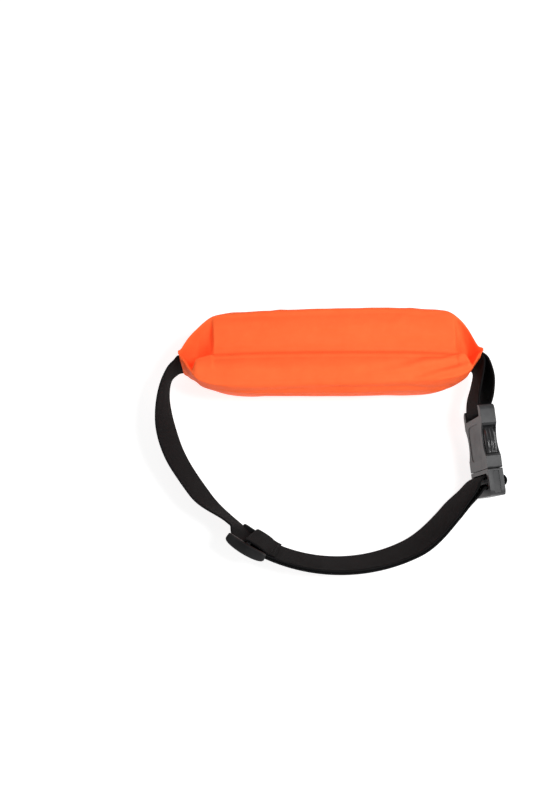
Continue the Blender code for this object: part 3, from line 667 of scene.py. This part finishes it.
# (x, value) knots along the pouch, in millimetres. Y of the upper edge on the zip side:
FRONT_EDGE = ((-113, 2.1), (-111.4, 3.2), (-108.8, 9.4), (-105.1, 15.9), (-100.7, 22.8), (-95.3, 28),
              (-90.1, 31.4), (-83.2, 33.2), (-75.4, 34.2), (-60.4, 35.2), (-37.7, 36), (0, 36.9), (37, 36),
              (64.4, 33.9), (75.8, 32.6), (83, 31.9), (89.3, 30.9), (94.3, 27.5), (100, 22), (104.6, 15.4),
              (107.8, 9.6), (110.8, 4.6), (113, 3))
# Y of the upper edge on the wearer's side, and of that wall a third of the way down
BACK_EDGE = ((-113, -2.1), (-110.5, -4.8), (-107, -9.8), (-104, -14.2), (-101.5, -17.3), (-95, -20.4),
             (-90, -21.8), (-75, -23.6), (-54, -24.6), (0, -24.4), (50, -24.2), (76, -23.4), (93, -20.5),
             (100, -17.6), (103.7, -14.6), (107, -9.8), (110.5, -5), (113, -3))
BACK_WALL = ((-113, -2.1), (-110.5, -3.4), (-107, -7.6), (-103, -12.3), (-99, -15.7), (-95, -17.7),
             (-90, -19.4), (-75, -22.6), (-54, -24.4), (0, -26.3), (50, -26.4), (76, -25.8), (90, -22.6),
             (98, -18.8), (104, -14.4), (108, -8.6), (111, -4.4), (113, -3))
# Depth of the valley in the upper gusset past the end of the far lobe
DEPTH_LEFT = ((-113, 1), (-111.4, 5.5), (-109.6, 12.5), (-107.4, 20.5), (-105, 24), (-101.7, 22),
              (-98, 17.5), (-95, 13.5), (-92, 9), (-90, 6.4), (-88.6, 5))
DEPTH_RIGHT = ((93.2, 5), (94.6, 6.8), (97, 10.5), (100, 16.5), (103, 21.5), (105.4, 23.8), (107.4, 20.5),
               (109.6, 12.5), (111.4, 5.5), (113, 1))
# Y of the near lobe's edge along the valley, past the end of the far lobe
SHOULDER_LEFT = ((-104, -13.6), (-102.7, -8.5), (-101.5, -3), (-95, 0.2), (-89.5, 1.6))
SHOULDER_RIGHT = ((93.6, -2.4), (97, -3.2), (100.2, -5.2), (102.4, -8.8), (104.2, -13.6))
FAR_END = (88.6, 93.2)
NEAR_END = (101.5, 101.2)
VALLEY_DEPTH = 5
TOP_MIDDLE = 62           # height of the upper side at mid length, and at the ends
TOP_ENDS = 60.8
LOBE_SLOPE = 0.34           # where the near lobe's edge lies between the wall and the valley, past its end


def flange(x):
    """Half the thickness of the end seam on x's side."""
    return FLANGE_RIGHT if x > 0 else FLANGE_LEFT


def wall_y(x, depth):
    """Distance of a wall from the seam plane at the zip's height."""
    base = flange(x)
    inward = min(END_REACH, max(0, FLANGE_X - abs(x)))
    return depth - (depth - base) * (1 - inward / END_REACH) ** END_POWER


def crease_y(x):
    return 2.8 - 0.0219 * x - 0.000158 * x * x


def tuck_depth(front, back):
    return math.sqrt(max(0, GUSSET_HALF ** 2 - ((front - back) / 2) ** 2))


def section_corners(x):
    """Corners of the outline at x as (y, z, radius), from the upper zip side round to the lower one.

    The zip wall stands straight up to the first corner, so that the zip's tapes can slide up behind it.
    """
    side = int(x > 0)
    reach = abs(x)
    ends = ease(reach, *TIGHTEN)
    top = mix(TOP_MIDDLE, TOP_ENDS, ends)
    low = SEAM_LOW * ease(reach, 80, 108)
    front = wall_y(x, FRONT_Y)
    front_edge = along_table(x, FRONT_EDGE)
    back_edge = along_table(x, BACK_EDGE)
    back_wall = along_table(x, BACK_WALL)
    past = ease(reach, FAR_END[side] - 1, FAR_END[side] + 1.5)
    gone = ease(reach, NEAR_END[side], NEAR_END[side] + 4.5)
    valley_y = mix(crease_y(x), 0, ease(reach, 97, 109))
    depth = VALLEY_DEPTH
    shoulder_y = valley_y - 3.6
    if reach > FAR_END[side]:
        depth = along_table(x, DEPTH_RIGHT if side else DEPTH_LEFT)
        edge = along_table(x, SHOULDER_RIGHT if side else SHOULDER_LEFT)
        shoulder_y = mix(shoulder_y, edge, past)
    shoulder_z = top - mix(1, 0.3, past)
    shoulder_y = mix(shoulder_y, mix(back_edge, valley_y, LOBE_SLOPE), gone)
    shoulder_z = mix(shoulder_z, top - depth * LOBE_SLOPE * gone, gone)
    under = low + tuck_depth(front, back_wall) * ease(reach, 60, 84) + 1.4
    under = mix(under, low + 1 + 6 * (1 - ease(reach, 111, 113)), ease(reach, 105, 111))
    low_front = mix(front, front - 1.2, 1 - ends)
    low_back = back_wall + min(11.5, 0.7 * abs(back_wall)) * (1 - ease(reach, 104, 112))
    upright = ease(front_edge, 6, 20)
    knee = (mix(front_edge, front, 0.35 + 0.6 * upright), mix(47, 51.5, upright), 9)
    return [knee, (front_edge, top, mix(8, 1.3, ends)), (valley_y, top - depth, mix(2.6, 1.2, past)),
            (shoulder_y, shoulder_z, mix(5, 1.5, past)), (back_edge, top - 0.6, mix(4.5, 1.3, ends)),
            (back_wall, 38, mix(26, 12, ends)), (low_back, low, mix(12, 2, ends)),
            (0, under, mix(6, 1.2, ends)), (low_front, low, mix(11, 1.4, ends))]


HEM_HEIGHT = 0.4
CORNER_POINTS = (5, 8, 7, 7, 7, 7, 7, 7, 7)
STRETCH_POINTS = (2, 12, 5, 8, 6, 8, 8, 10)
WINDOW_POINTS = 8


def crowns(x):
    """How far each stretch between corners is crowned outwards; below zero it sags."""
    side = int(x > 0)
    reach = abs(x)
    full = 1 - ease(reach, 70, 100)
    far = mix(3, -2.6, ease(reach, FAR_END[side] - 0.6, FAR_END[side] + 2.2))
    far *= 1 - ease(reach, 99, 107)
    near = mix(2.5, 0.5, ease(reach, NEAR_END[side] - 1, NEAR_END[side] + 1.5))
    near *= 1 - ease(reach, 102, 107)
    return (0, far, 0, near, 0.8 * full, 0.6 * full, 0.3 * full, 0.3 * full)


def rounded(before, point, after, radius, count):
    """Points of a rounded corner, on a quadratic curve between its two tangent points."""
    arms = [before - point, after - point]
    cosine = arms[0].normalized().dot(arms[1].normalized())
    cosine = max(-0.999, min(0.999, cosine))
    reach = max(0.5, radius * math.sqrt((1 + cosine) / (1 - cosine)))
    reach = min(reach, 0.46 * arms[0].length, 0.46 * arms[1].length)
    a, b = [point + arm.normalized() * reach for arm in arms]
    steps = [i / (count - 1) for i in range(count)]
    return [a * (1 - t) ** 2 + point * 2 * t * (1 - t) + b * t * t for t in steps]


def section(x):
    """The outline of the pouch at x, open at the zip, as (y, z)."""
    corners = section_corners(x)
    front = wall_y(x, FRONT_Y)
    window = (Vector((front, ZIP_Z + WINDOW_HALF)), Vector((front, ZIP_Z - WINDOW_HALF)))
    stops = [window[0], *[Vector(corner[:2]) for corner in corners], window[1]]
    rounds = [rounded(*stops[i:i + 3], corner[2], CORNER_POINTS[i]) for i, corner in enumerate(corners)]
    line = [window[0].lerp(rounds[0][0], k / WINDOW_POINTS) for k in range(WINDOW_POINTS)]
    for points, following, crown, count in zip(rounds, rounds[1:], crowns(x), STRETCH_POINTS):
        a, b = points[-1], following[0]
        inward = Vector(((a - b).y, (b - a).x)).normalized()
        steps = [k / (count + 1) for k in range(1, count + 1)]
        line += points + [a.lerp(b, t) - inward * crown * 4 * t * (1 - t) for t in steps]
    line += rounds[-1]
    line += [rounds[-1][-1].lerp(window[1], k / WINDOW_POINTS) for k in range(1, WINDOW_POINTS + 1)]
    return line


def pinched(x, y, z):
    """Y drawn in to the seam above and below the webbing, where the two walls lie on each other."""
    free = ease(abs(z - ZIP_Z), 19.5, 24.5) * ease(abs(x), 103.5, 110.4)
    return y - math.copysign(min(abs(y), flange(x) - FABRIC - 0.5) * free, y)


def hem(x, z):
    """Height of the doubled fabric along the zip window."""
    return HEM_HEIGHT * (1 - ease(abs(z - ZIP_Z), 12.6, 13.2)) * (1 - ease(abs(x), 99, 103))


def pouch_stations():
    xs = [3 * k for k in range(28)]
    xs += [84 + 0.9 * k for k in range(30)]
    xs += [110.6, 111.4, 112.2, SEAM_X]
    return [-x for x in xs[:0:-1]] + xs


def build_pouch():
    xs = pouch_stations()
    points = []
    cloth = []
    for x in xs:
        row = section(x)
        run = 0
        for j, p in enumerate(row):
            if j:
                run += (p - row[j - 1]).length
            y = pinched(x, p.x, p.y) + seam_y(x)
            if p.x > 2 and abs(p.y - ZIP_Z) < 18:
                y += hem(x, p.y)
            points.append((seam_x(x, p.y), y, p.y))
            cloth.append((x, run))
    faces = grid_faces(len(xs), len(row))
    return add_mesh("pouch_shell", points, faces, FABRIC_LOOK, cloth)


# Folds drawn on the upper side: (x, y) start and end, width and height, in millimetres
TOP_FOLDS = ((-86, 25, -48, 27.5, 4.5, 0.55), (-60, 29.5, 40, 30.5, 3, -0.5), (48, 21, 57, 29, 5, 0.8),
             (-78, 12, 30, 14, 6, -0.5), (-20, 20, 70, 22.5, 5, 0.45), (20, 9, 86, 8, 5, -0.45),
             (-88, -6.5, -60, -9.5, 4.5, 0.7), (-97, -12, -70, -17, 5, -0.5), (-70, -12, 10, -12.5, 5, 0.5),
             (15, -17, 62, -9, 5, -0.8), (52, -14, 97, -4, 5.5, 2), (62, -19, 98, -9.5, 4, -1.9),
             (66, -21, 99, -14, 3.6, 1.6), (76, -7, 98, -0.5, 3, -1))
# Folds on the wearer's wall: x and z start and end, width and height
WALL_FOLDS = ((-80, 50, -20, 54, 4, -0.9), (-90, 47, 5, 46, 5, 0.6), (-5, 55, 62, 52, 4, -1.3),
              (5, 47, 70, 45, 5, 0.8), (60, 50, 96, 42, 5, -1.1), (74, 38, 100, 48, 5, 0.9),
              (-50, 24, 30, 20, 8, -0.8), (-85, 30, -55, 12, 7, 0.9), (50, 14, 88, 30, 7, 0.9))
# Folds on the zip wall, running in from the window and the ends
FRONT_FOLDS = ((-96, 48, -70, 56, 5, 0.8), (-62, 45, -44, 57, 5, -0.9), (-40, 58, -22, 44, 5, 0.8),
               (-8, 44, 6, 57, 5, 0.7), (18, 57, 38, 45, 5, -0.9), (48, 44, 64, 56, 5, 0.8),
               (74, 55, 98, 46, 5, -0.8), (-98, 16, -74, 6, 5, 0.8), (-60, 5, -42, 18, 5, -0.8),
               (-30, 17, -10, 5, 5, 0.8), (6, 5, 26, 17, 5, 0.7), (40, 18, 58, 5, 5, -0.8),
               (70, 6, 98, 16, 5, 0.8))


def fold_height(folds, a, b):
    """Sum of the soft folds at (a, b): full on each fold's line, nothing at its width from it."""
    total = 0
    for a0, b0, a1, b1, width, height in folds:
        length = math.hypot(a1 - a0, b1 - b0)
        da, db = (a1 - a0) / length, (b1 - b0) / length
        run = (a - a0) * da + (b - b0) * db
        off = (b - b0) * da - (a - a0) * db
        fade = ease(run, -0.25 * length, 0.2 * length) * (1 - ease(run, 0.8 * length, 1.25 * length))
        total += height * fade * ease(abs(off), width, 0)
    return total


def wrinkle(obj):
    """Long folds and soft crumpling; the zip's edge and the seams stay where they are sewn."""
    mesh = obj.data
    normals = [v.normal.copy() for v in mesh.vertices]
    for v, normal in zip(mesh.vertices, normals):
        x, y, z = (c / MM for c in v.co)
        hold = 1 - ease(abs(x), 101, 110)
        near_zip = ease(abs(z - ZIP_Z), 11.5, 18) if y > 2 else 1
        broad = noise.noise(Vector((x / 38, (z + y) / 26, y / 50)))
        crisp = 0.35 - abs(noise.noise(Vector((x / 21 + z / 40, (z + 0.6 * y) / 13 - x / 90, 3.1))))
        push = 0.7 * broad + 0.55 * crisp
        if normal.z > 0.5:
            push = 0.35 * push + fold_height(TOP_FOLDS, x, y)
        elif normal.y < -0.3:
            push = 0.6 * push + fold_height(WALL_FOLDS, x, z)
        elif normal.y > 0.3:
            push += fold_height(FRONT_FOLDS, x, z)
        if y > 25 and abs(z - ZIP_Z) < 22:
            push = max(push, -0.3)
        v.co += normal * push * hold * near_zip * MM


pouch = build_pouch()
wrinkle(pouch)
thicken(pouch, FABRIC)
add_modifier(pouch, "Soft", "SUBSURF", levels=1, render_levels=1)
apply_modifiers(pouch)
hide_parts("back_panel", "top_gusset", "bottom_gusset", "front_strip_upper", "front_strip_lower")
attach(pouch, "pack")


# ---------------- zip

def wall_sheet(name, xs, zs, place, look):
    """A sheet on the zip wall through place(x, z) for each x and z."""
    points = [place(x, z) for x in xs for z in zs]
    cloth = [(x, z - ZIP_Z) for x in xs for z in zs]
    return add_mesh(name, points, grid_faces(len(xs), len(zs)), look, cloth)


def film_lift(x, z):
    """The coil behind the film pushes it out along the middle."""
    return 0.45 * (1 - ease(abs(z - ZIP_Z), 1.6, 3.6)) + 0.05 * math.sin(x / 0.21)


def coil_lift(x, z):
    """The turns of the coil stand out from its two flat edges."""
    away = abs(z - ZIP_Z)
    turns = 0.30 + 0.30 * math.sin(2 * math.pi * x / COIL_PITCH)
    return turns * ease(away, 0.1, 0.9) * (1 - ease(away, 2.4, 3.2))


# Layers of the zip: places away from its middle, depth behind the wall, thickness, step along, lift, look
TAPE_ACROSS = (0.12, 0.5, 1, 1.7, 2.4, 3.1, 3.8, 5.5, 7.5, 9.5, 10.8, 12)
COIL_ACROSS = (0.17, 0.5, 1, 1.6, 2.2, 2.8, 3.2)
ZIP_LAYERS = {"tape": (TAPE_ACROSS, 1.3, 0.7, 1, film_lift, FILM_LOOK),
              "coil": (COIL_ACROSS, 2.75, 1.3, COIL_PITCH / 5, coil_lift, COIL_LOOK)}


def build_zip_half(side, word, end, span):
    """Tape and coil of one half, over one end of the zip; both lie behind the pouch's wall."""
    for layer, (reaches, depth, thickness, step, lift, look) in ZIP_LAYERS.items():
        count = int((span[1] - span[0]) / step)
        xs = [mix(*span, i / count) for i in range(count + 1)]
        zs = sorted(ZIP_Z + side * reach for reach in reaches)
        piece = wall_sheet("zip_%s_%s_%s" % (layer, word, end), xs, zs,
                           lambda x, z: (x, wall_y(x, FRONT_Y) + seam_y(x) - depth + lift(x, z), z),
                           look)
        thicken(piece, thickness)
        apply_modifiers(piece)
        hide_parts("zip_%s_%s" % (layer, word))
        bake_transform(piece)


for side, word in ((1, "upper"), (-1, "lower")):
    build_zip_half(side, word, "left", (-104, 20))
    build_zip_half(side, word, "right", (20, 104))


# ---------------- end patches and stitching

PATCH = 0.7
PATCH_HALF = 11.2
PATCH_REACH = (101.4, 112.4)


def wall_point(x, z, lift):
    return Vector((seam_x(x, z), wall_y(x, FRONT_Y) + seam_y(x) + lift, z))


def patch_place(x, z):
    """Point of a patch, which is puffed up a little in its middle."""
    along = (abs(x) - PATCH_REACH[0]) / (PATCH_REACH[1] - PATCH_REACH[0])
    up = (z - ZIP_Z + PATCH_HALF) / (2 * PATCH_HALF)
    return wall_point(x, z, 0.55 + 0.25 * math.sin(math.pi * along) * math.sin(math.pi * up))


def end_patch(name, side):
    """Square of the same fabric that closes off one end of the zip; its points run towards +X."""
    xs = sorted(side * mix(*PATCH_REACH, i / 10) for i in range(11))
    zs = [ZIP_Z + mix(-PATCH_HALF, PATCH_HALF, j / 12) for j in range(13)]
    obj = wall_sheet(name, xs, zs, patch_place, PATCH_LOOK)
    thicken(obj, PATCH)
    add_modifier(obj, "Rounded edge", "BEVEL", width=0.22 * MM, segments=2)
    apply_modifiers(obj)
    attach(obj, "pack")
    return obj


STITCH_PROFILE = ((-1, 0.2), (-0.8, 0.75), (-0.35, 1), (0.35, 1), (0.8, 0.75), (1, 0.2))


def point_along(line, run, distance):
    """Point at a distance along a line; run holds the distance of each of its points."""
    distance = min(run[-1], max(0, distance))
    k = max(1, next((i for i in range(1, len(run)) if distance <= run[i]), len(run) - 1))
    return line[k - 1].lerp(line[k], (distance - run[k - 1]) / (run[k] - run[k - 1]))


def stitch_rows(name, lines, look, pitch=2.6, length=1.9, radius=0.2):
    """Sewing thread: short plump stitches along each line of points."""
    points = []
    faces = []
    cloth = []
    sides = 6
    for line in lines:
        run = [0]
        for a, b in zip(line, line[1:]):
            run.append(run[-1] + (b - a).length)
        count = max(1, round(run[-1] / pitch))
        for n in range(count):
            middle = run[-1] * (n + 0.5) / count
            start = point_along(line, run, middle - length / 2)
            end = point_along(line, run, middle + length / 2)
            heading = (end - start).normalized()
            first = heading.orthogonal().normalized()
            second = heading.cross(first)
            faces += tube_faces(len(STITCH_PROFILE), sides, len(points))
            for reach, plump in STITCH_PROFILE:
                centre = start.lerp(end, (reach + 1) / 2)
                for k in range(sides):
                    turn = 2 * math.pi * k / sides
                    side = first * math.cos(turn) + second * math.sin(turn)
                    points.append(centre + side * radius * plump)
                    cloth.append((reach, turn))
    return add_mesh(name, points, faces, look, cloth)


SEAM_STITCHES = 112       # place of the row along each end seam


def patch_lines(side):
    """Two rows of stitches along the patch's inner edge and one along each other edge."""
    rows = [[wall_point(side * x, ZIP_Z + z, 0.95) for z in (-10.2, -5, 0, 5, 10.2)]
            for x in (102.7, 104.4)]
    edges = [[wall_point(side * x, ZIP_Z + z, 0.85) for x in (102.7, 105, 107.5, 110, 111.6)]
             for z in (-10.2, 10.2)]
    return rows + edges


def seam_lines(side):
    """Rows along an end seam, through all its layers, on its outer and its inner side."""
    x = side * SEAM_STITCHES
    lines = []
    for face in (1, -1):
        y = seam_y(x) + face * 0.05
        zs = [mix(2.6, 59, k / 24) for k in range(25)]
        lines.append([Vector((seam_x(x, z), y + pinched(x, face * flange(x), z), z)) for z in zs])
    return lines


for side, word in ((-1, "left"), (1, "right")):
    patch = end_patch("end_patch_" + word, side)
    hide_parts("zip_end_patch_" + word)
    for place, lines in (("patch", patch_lines(side)), ("seam", seam_lines(side))):
        sewn = stitch_rows("%s_stitches_%s" % (place, word), lines, ORANGE_THREAD)
        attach(sewn, "pack")

flap_face = FLAP_REST - WEB / 2 - 0.04
flap_rows = [[glide_place(length, across, flap_face) for across in (-17.5, -9, 0, 9, 17.5)]
             for length in (17.2, 19.2)]
flap_stitches = stitch_rows("flap_stitches", flap_rows, BLACK_THREAD, 2.2, 1.6, 0.22)
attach(flap_stitches, "tri_glide")


# ---------------- moulded parts

def solid(name, rings, look=None):
    """A closed mesh through equal rings of points in millimetres, capped at both ends."""
    points = [point for ring in rings for point in ring]
    mesh = mesh_of(name, points, tube_faces(len(rings), len(rings[0])))
    bm = bmesh.new()
    bm.from_mesh(mesh)
    bmesh.ops.recalc_face_normals(bm, faces=bm.faces)
    bm.to_mesh(mesh)
    bm.free()
    obj = add_object(name, mesh)
    if look is not None:
        mesh.materials.append(look)
    return obj


def combine(obj, tool, operation="DIFFERENCE"):
    """Cut a tool out of a piece, or join it on."""
    add_modifier(obj, tool.name, "BOOLEAN", operation=operation, solver="EXACT", object=tool)
    apply_modifiers(obj)
    bpy.data.objects.remove(tool, do_unlink=True)


def soften(obj, width):
    """Round the edges off, after clearing away flat seams that booleans leave."""
    bm = bmesh.new()
    bm.from_mesh(obj.data)
    bmesh.ops.remove_doubles(bm, verts=bm.verts, dist=0.01 * MM)
    bmesh.ops.dissolve_limit(bm, angle_limit=math.radians(1), verts=bm.verts, edges=bm.edges)
    bm.to_mesh(obj.data)
    bm.free()
    add_modifier(obj, "Rounding", "BEVEL", width=width * MM, segments=2, limit_method="ANGLE",
                 angle_limit=math.radians(30), harden_normals=True)
    smooth(obj.data)
    apply_modifiers(obj)


def rounded_box(a_low, a_high, b_low, b_high, low_radius, high_radius=None, steps=6):
    """Outline of a rectangle with one radius at its low-a end and another at its high-a end."""
    outline = []
    for quarter in range(4):
        radius = (high_radius or low_radius) if quarter in (0, 3) else low_radius
        a = a_high - radius if quarter in (0, 3) else a_low + radius
        b = b_high - radius if quarter < 2 else b_low + radius
        outline += arc(a, b, radius, 90 * quarter, 90, steps)
    return outline


def buckle_plate(name, outline, w_low, w_high, look=None):
    """Plate in the buckle's frame from an outline in (u, z)."""
    rings = [[BUCKLE @ Vector((u, w, z)) for u, z in outline] for w in (w_low, w_high)]
    return solid(name, rings, look)


def buckle_box(name, u, w, z):
    return buckle_plate(name, [(u[0], z[0]), (u[1], z[0]), (u[1], z[1]), (u[0], z[1])], *w)


SCOOP_MIDDLE = -21
SCOOP_DEPTH = 5.2
SCOOP_RADIUS = 17
PAST = BUCKLE_THICK + 1     # how far the cutters reach through the thickness
# Boxes in the buckle's frame, as (u, w, z) spans
CAVITY = ((-35.5, 1), (-4.3, 4.3), (-23.4, 23.4))
WINDOWS = ((-31.5, -10.5), (-4.5, 4.5), (-27, 27))
TONGUE = ((-30, 2.4), (-1.6, 1.6), (-7, 7))
RELIEF_HALF = 20.45
PANEL = (-34.5, -7.5, -16.5, 16.5, 5)
PANEL_DEPTH = 0.35


def buckle_body(name, u_low, u_high, low_radius, high_radius):
    outline = rounded_box(u_low, u_high, -BUCKLE_HALF, BUCKLE_HALF, low_radius, high_radius)
    return buckle_plate(name, outline, -BUCKLE_THICK, BUCKLE_THICK, PLASTIC_LOOK)


def cut_slot(body, name, span):
    slot = rounded_box(*span, -SLOT_HALF, SLOT_HALF, 0.8)
    combine(body, buckle_plate(name, slot, -PAST, PAST))


def build_female():
    body = buckle_body("buckle_female_body", -FEMALE_LENGTH, 0, 4.5, 1.2)
    combine(body, buckle_box("cavity", *CAVITY))
    combine(body, buckle_box("windows", *WINDOWS))
    for side, word in ((1, "upper"), (-1, "lower")):
        z = side * (BUCKLE_HALF + SCOOP_RADIUS - SCOOP_DEPTH)
        scoop = arc(SCOOP_MIDDLE, z, SCOOP_RADIUS, 0, 360, 48)[:-1]
        combine(body, buckle_plate("scoop_" + word, scoop, -PAST, PAST))
    cut_slot(body, "slot", FEMALE_SLOT)
    for w, word in (((FEMALE_BAR_HALF, PAST), "outer"), ((-PAST, -FEMALE_BAR_HALF), "inner")):
        combine(body, buckle_box("relief_" + word, (-FEMALE_LENGTH - 1, FEMALE_BAR[1] + 1), w,
                                 (-RELIEF_HALF, RELIEF_HALF)))
    face = BUCKLE_THICK - PANEL_DEPTH
    for w, word in (((face, PAST), "outer"), ((-PAST, -face), "inner")):
        combine(body, buckle_plate("panel_" + word, rounded_box(*PANEL), *w))
    soften(body, 0.5)
    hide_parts("buckle_female")
    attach(body, "pack")


def build_male():
    body = buckle_body("buckle_male_body", MALE_START, MALE_END, 0.8, 4)
    for k, span in enumerate(MALE_SLOTS):
        cut_slot(body, "male_slot_%d" % k, span)
    for side, word in ((1, "upper"), (-1, "lower")):
        z = sorted((side * 25.3, side * 27))
        combine(body, buckle_box("groove_" + word, (2.2, 21), (-2.4, 2.4), z))
    combine(body, buckle_box("tongue", *TONGUE), "UNION")
    soften(body, 0.55)
    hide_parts("buckle_male")
    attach(body, "buckle_male")


PRONG = ((0.1, 18.2), (0.1, 19.8), (-2, 21.8), (-9.5, 22.6), (-10.9, 23.6), (-11.4, 25), (-14.5, 25.9),
         (-20, 26.1), (-25, 25.4), (-29.6, 23.2), (-33, 20.4), (-33.4, 18), (-28, 18.4), (-12, 18.8),
         (-2, 16.8))
PRONG_HALF = 4
RIB_WIDTH = 2.5


def build_prong(side, word):
    """Sprung arm with a thumb pad, which is arched and has three ribs along it."""
    count = len(PRONG)
    outline = smooth_route([PRONG[k % count] for k in range(-1, count + 2)], 4)[:-1]
    rings = []
    for k in range(25):
        w = mix(-PRONG_HALF, PRONG_HALF, k / 24)
        ring = []
        for u, z in outline:
            pad = ease(z, 21.5, 23) * (1 - ease(u, -12.5, -10.5)) * ease(u, -31, -28)
            arch = pad * (0.5 * math.cos(2 * math.pi * w / RIB_WIDTH) - 1.3 * (w / PRONG_HALF) ** 2 - 0.3)
            ring.append(BUCKLE @ Vector((u, w, side * (z + arch))))
        rings.append(ring)
    prong = solid("prong_" + word + "_pad", rings, PRONG_LOOK)
    add_modifier(prong, "Rounding", "BEVEL", width=0.3 * MM, segments=2, limit_method="ANGLE",
                 angle_limit=math.radians(60))
    smooth(prong.data)
    apply_modifiers(prong)
    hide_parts("buckle_prong_" + word)
    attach(prong, "prong_" + word)


def glide_rail(name, side, rail_out, look):
    """Rail with rounded ends and a bellied outer face, along the edge of the webbing."""
    rings = []
    for k in range(-12, 13):
        length = GLIDE_HALF * math.sin(math.pi / 2 * k / 12)
        inset = 3.2 * (1 - math.sqrt(1 - (k / 12) ** 4))
        belly = 1.6 - 2.6 * (k / 12) ** 2
        low, high = sorted((side * (RAIL_IN + 0.3 * inset), side * (rail_out - 0.45 * inset)))
        outline = rounded_box(low, high, BAR_MIDDLE[0] + 0.8 + 0.6 * inset,
                              BAR_OUT[1] + belly - 0.6 * inset, 0.42 * (high - low), steps=4)
        rings.append([glide_place(length, across, offset) for across, offset in outline])
    return solid(name, rings, look)


def build_glide():
    """Two rails with rounded ends, joined by three rounded bars."""
    glide = glide_rail("tri_glide_frame", 1, RAIL_OUT, GLIDE_LOOK)
    combine(glide, glide_rail("rail_bottom", -1, RAIL_OUT - 1.2, None), "UNION")
    outer = GLIDE_HALF - 1.4
    bars = (("start", -outer, BAR_WIDTH - outer, BAR_OUT), ("end", outer - BAR_WIDTH, outer, BAR_OUT),
            ("middle", -1.7, 1.7, BAR_MIDDLE))
    for word, low, high, offsets in bars:
        outline = rounded_box(low, high, *offsets, 0.85, steps=4)
        rings = [[glide_place(length, across, offset) for length, offset in outline]
                 for across in (-21.8, -10, 0, 10, 21.8)]
        combine(glide, solid("bar_" + word, rings), "UNION")
    smooth(glide.data)
    glide.data.set_sharp_from_angle(angle=math.radians(40))
    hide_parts("tri_glide")
    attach(glide, "tri_glide")


def softened(node, look, body, width):
    """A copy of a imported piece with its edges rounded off."""
    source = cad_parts[node]
    mesh = source.data.copy()
    mesh.transform(source.matrix_world)
    mesh.materials.clear()
    mesh.materials.append(look)
    obj = add_object(node + "_body", mesh)
    soften(obj, width)
    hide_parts(node)
    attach(obj, body)


build_female()
build_male()
build_prong(1, "upper")
build_prong(-1, "lower")
build_glide()
softened("zip_slider", METAL_LOOK, "zip_slider", 0.3)
softened("zip_pull_frame", METAL_LOOK, "zip_pull", 0.22)
softened("zip_pull_grip", RUBBER_LOOK, "zip_pull", 0.35)
for material_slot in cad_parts["zip_pull_loop"].material_slots:
    material_slot.material = RUBBER_LOOK


# ---------------- stage, light and camera

FLOOR_HALF = 3000
FLOOR_Z = -0.5
PACK_MIDDLE = (0, -0.03, 0.03)
BUCKLE_PLACE = (0.08, -0.07, 0.03)
CAMERA_PLACE = (-55.4, -231.7, 707.4)
CAMERA_ELEVATION = math.radians(73.1)
CAMERA_AZIMUTH = math.radians(-1.6)
SENSOR = 36
FOCAL_RATIO = 921 / 800


def add_stage():
    look = Look("studio_floor", 0.9, Emission_Color=(1, 1, 1), Emission_Strength=0.8, Specular_IOR_Level=0)
    shade = look.noise(look.place(), 3)
    material = look.finish(look.colours(shade, (0.48, 0.48, 0.48), (0.5, 0.5, 0.5)))
    corners = [(a * FLOOR_HALF, b * FLOOR_HALF, FLOOR_Z) for a, b in ((-1, -1), (1, -1), (1, 1), (-1, 1))]
    mesh = mesh_of("studio_floor", corners, [(0, 1, 2, 3)])
    mesh.materials.append(material)
    add_object("studio_floor", mesh)


def add_area(name, location, target, size, power):
    """Round white lamp; places in metres."""
    light = bpy.data.lights.new(name, "AREA")
    light.shape = "DISK"
    light.size = size
    light.energy = power
    obj = add_object(name, light)
    obj.location = location
    obj.rotation_euler = (Vector(target) - Vector(location)).to_track_quat("-Z", "Y").to_euler()


def add_camera():
    data = bpy.data.cameras.new("camera")
    data.sensor_width = SENSOR
    data.lens = FOCAL_RATIO * SENSOR
    data.clip_start = 0.01
    data.clip_end = 20
    camera = add_object("camera", data)
    camera.location = Vector(CAMERA_PLACE) * MM
    camera.rotation_euler = (math.pi / 2 - CAMERA_ELEVATION, 0, CAMERA_AZIMUTH)
    bpy.context.scene.camera = camera


add_stage()
add_area("key", (0.34, -0.16, 0.93), PACK_MIDDLE, 0.25, 6)
add_area("fill", (-0.35, -0.85, 0.5), PACK_MIDDLE, 0.8, 1.2)
add_area("rim", (0.75, -0.35, 0.35), BUCKLE_PLACE, 0.4, 1.2)
world = bpy.data.worlds.new("studio")
world.use_nodes = True
sky = world.node_tree.nodes["Background"].inputs
sky["Color"].default_value = (1, 1, 1, 1)
sky["Strength"].default_value = 0.32
bpy.context.scene.world = world
bpy.context.scene.view_settings.view_transform = "Standard"
add_camera()
